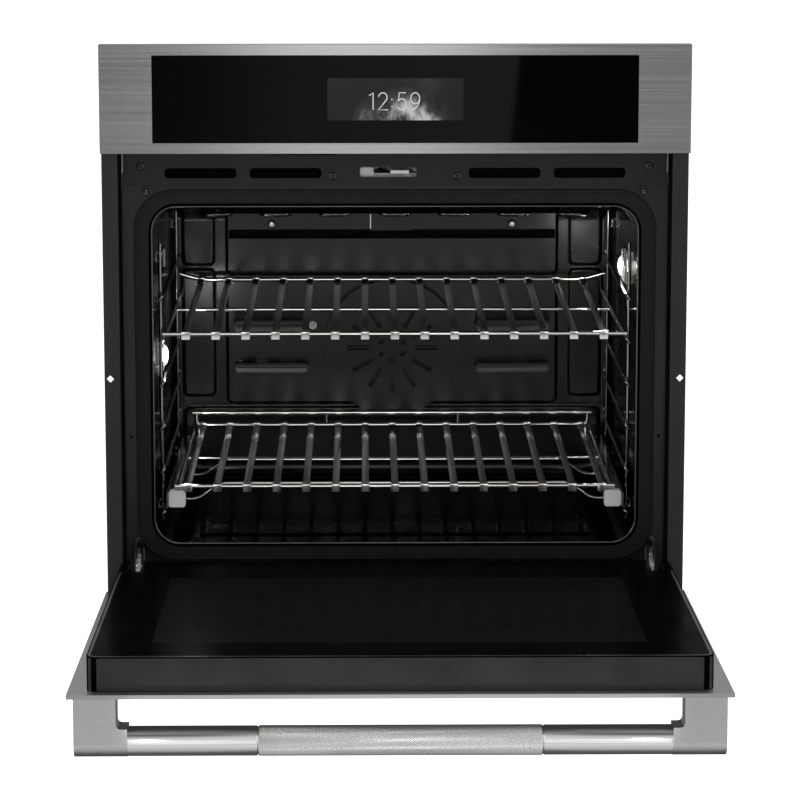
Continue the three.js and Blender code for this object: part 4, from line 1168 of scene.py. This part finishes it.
# A chrome sliver left of the hood's middle: a painted highlight along the edge of its folded joint.
hood_screws_and_highlight.block((-31.8, 480.9, 441), (-30.6, 482.2, 462))
hood_screws_and_highlight.piece("hood_screws_and_highlight", "chassis", CHROME, "chrome_wire")

# ---- painted gap shade, seal joint and bumper rings
# Matte black strips fill the gaps between the side trims and the front frame: painted shade for the shadow
# in those gaps.
gap_shade_strips = Form()
for side in (-1, 1):
    gap_shade_strips.block((side * 356.9, 21.6, 18), (side * 360.1, 22.5, 600))
    gap_shade_strips.block((side * 360.0, -1.6, 18), (side * TRIM_HALF, 22.0, 600))
gap_shade_strips.piece("trim_gap_shade", "chassis", DEEP_BLACK, "satin_black", smooth=False)

BUMPER_X = 325.5
BUMPER_Z = 545.9

# The seal's ends meet at the middle of its lower run.
joint = Form().block((0.1, 21.35, 56.5), (1.1, 23.6, 72.6))
joint.piece("gasket_joint", "chassis", DEEP_BLACK, "black_rubber", smooth=False)

rings = Form()
for side in (-1, 1):
    centre = Vector((side * BUMPER_X, 22.3, BUMPER_Z))
    rings.tube([centre + Vector((x, 0, z)) for x, z in oval(6.6, 6.6, 32)], 0.9, 10, True)
    stud = [(0, 3.4), (0.9, 3.2), (1.2, 2.0), (1.25, 0.2)]
    rings.lathe(stud, centre + Vector((0, 0.9, 0)), (0, -1, 0), 24)
rings.piece("bumper_rings", "chassis", SCREW_BLACK, "black_rubber")

# ---- surroundings
FLOOR_Z = -0.76
floor_mesh = bpy.data.meshes.new("floor")
corners = [(x, y, FLOOR_Z) for x, y in ((-30, -3.6), (30, -3.6), (30, 60), (-30, 60))]
floor_mesh.from_pydata(corners, [], [(0, 1, 2, 3)])
floor = add_object("floor", floor_mesh)
pale = Shader("pale_floor", (0.86, 0.86, 0.86), 0.8)
pale.tint(pale.noise(0.7, 3), 0.3, 0.7, 0.99, 1.01)
pale.set("Emission Color", (1, 1, 1, 1))
pale.set("Emission Strength", 0.9)
paint(floor, pale.mat)
# The oven hangs in a cabinet, so the pale floor far below it lends it no light.
floor.visible_diffuse = False
floor.visible_glossy = False
floor.visible_transmission = False


class Sky(Nodes):
    """Grey values by direction, built from node arithmetic in the world's tree."""

    def __init__(self, tree):
        super().__init__(tree)
        coords = self.node("ShaderNodeTexCoord")
        parts = self.node("ShaderNodeSeparateXYZ")
        self.link(coords.outputs["Generated"], parts.inputs["Vector"])
        self.x, self.y, self.z = (parts.outputs[axis] for axis in "XYZ")

    def step(self, source, lo, hi):
        """0 at lo and 1 at hi, with a soft step between."""
        made = self.node("ShaderNodeMapRange", interpolation_type="SMOOTHSTEP")
        self.link(source, made.inputs["Value"])
        made.inputs["From Min"].default_value = lo
        made.inputs["From Max"].default_value = hi
        return made.outputs["Result"]

    def curve(self, source, lo, hi, stops):
        """Straight lines between (place, grey) stops along the source."""
        made = self.node("ShaderNodeValToRGB")
        while len(made.color_ramp.elements) < len(stops):
            made.color_ramp.elements.new(0.5)
        for spot, (at, value) in zip(made.color_ramp.elements, stops):
            spot.position = (at - lo) / (hi - lo)
            spot.color = (value, value, value, 1)
        reach = self.node("ShaderNodeMapRange")
        self.link(source, reach.inputs["Value"])
        reach.inputs["From Min"].default_value = lo
        reach.inputs["From Max"].default_value = hi
        self.link(reach.outputs["Result"], made.inputs["Fac"])
        return made.outputs["Color"]

    def blend(self, factor, a, b):
        rest = self.math("SUBTRACT", 1.0, factor)
        return self.math("ADD", self.math("MULTIPLY", a, rest), self.math("MULTIPLY", b, factor))


# (place, grey) stops. Places are directions' heights: -1 is straight down and 1 straight up.
ROOM_GREYS = ((-1, 0.12), (-0.7, 0.08), (-0.3, 0.12), (0, 0.35), (0.4, 0.5), (1, 0.45))
CARD_GREYS = (
    (-1, 0.34), (-0.94, 0.5), (-0.7, 0.66), (-0.4, 0.84), (-0.11, 0.68), (-0.1, 0.66), (-0.085, 0.06),
    (0.12, 0.06), (0.2, 0.88), (0.53, 0.72), (0.64, 0.5), (0.75, 0.22), (0.86, 0.12), (1, 0.4),
)
# Places here are how far a direction points to the right.
DIM_GREYS = ((-0.09, 0.02), (-0.0523, 0.07), (-0.0203, 0.178), (0.0405, 0.24), (0.1, 0.26))
BLACK_GREY = 0.02
EDGE_X = 0.0496  # the black part's slanted edge crosses EDGE_Z here
EDGE_Z = -0.0684
EDGE_SLOPE = 0.1124


def studio():
    """White seen directly. For light and gloss, a soft room with pale cards in front, and a dim
    card between them whose right part is black beyond a slanted edge."""
    world = bpy.data.worlds.new("studio")
    scene.world = world
    world.use_nodes = True
    tree = world.node_tree
    tree.nodes.clear()
    sky = Sky(tree)
    out = sky.node("ShaderNodeOutputWorld")
    seen = sky.node("ShaderNodeBackground")
    room = sky.node("ShaderNodeBackground")
    mix = sky.node("ShaderNodeMixShader")
    path = sky.node("ShaderNodeLightPath")
    sky.link(path.outputs["Is Camera Ray"], mix.inputs["Fac"])
    sky.link(room.outputs["Background"], mix.inputs[1])
    sky.link(seen.outputs["Background"], mix.inputs[2])
    seen.inputs["Color"].default_value = (1, 1, 1, 1)
    sky.link(mix.outputs["Shader"], out.inputs["Surface"])

    front = sky.step(sky.y, 0.1, -0.5)
    behind = sky.curve(sky.z, -1, 1, ROOM_GREYS)
    ahead = sky.curve(sky.z, -1, 1, CARD_GREYS)
    light = sky.blend(front, behind, ahead)

    dim = sky.curve(sky.x, -0.1, 0.1, DIM_GREYS)
    slant = sky.math("MULTIPLY", sky.math("SUBTRACT", sky.z, EDGE_Z), EDGE_SLOPE)
    past = sky.math("SUBTRACT", sky.math("SUBTRACT", sky.x, EDGE_X), slant)
    dim = sky.blend(sky.step(past, -0.0003, 0.0003), dim, BLACK_GREY)
    band = sky.math("MULTIPLY", sky.step(sky.z, -0.1025, -0.0995), sky.step(sky.z, -0.055, -0.06))
    wide = sky.step(sky.math("ABSOLUTE", sky.x), 0.14, 0.1)
    card = sky.math("MULTIPLY", sky.math("MULTIPLY", band, wide), front)
    sky.link(sky.blend(card, light, dim), room.inputs["Color"])


def soft_box(name, place, target, size, power):
    """A rectangular light at one place that faces another."""
    data = bpy.data.lights.new(name, "AREA")
    data.shape = "RECTANGLE"
    data.size, data.size_y = size
    data.energy = power
    light = add_object(name, data)
    light.location = place
    light.rotation_euler = (Vector(target) - Vector(place)).to_track_quat("-Z", "Y").to_euler()
    light.visible_camera = False


studio()
soft_box("key_strip", (-0.05, -4.52, 1.1), (-0.05, 0, 0.7), (0.68, 1.2), 6.8)
soft_box("overhead", (0, 0.5, 3.0), (0, 0.5, 0), (3.2, 2.0), 36)
# Low and close in front of the open door's handle, for its lower front alone.
soft_box("handle_strip", (0, -0.7, -0.0115), (0, 0, -0.0115), (0.644, 0.047), 0.09)
for name, x in (("left_wall", -3.2), ("right_wall", 3.2)):
    soft_box(name, (x, -1.2, 0.9), (0, 0, 0.4), (1.6, 1.8), 20)
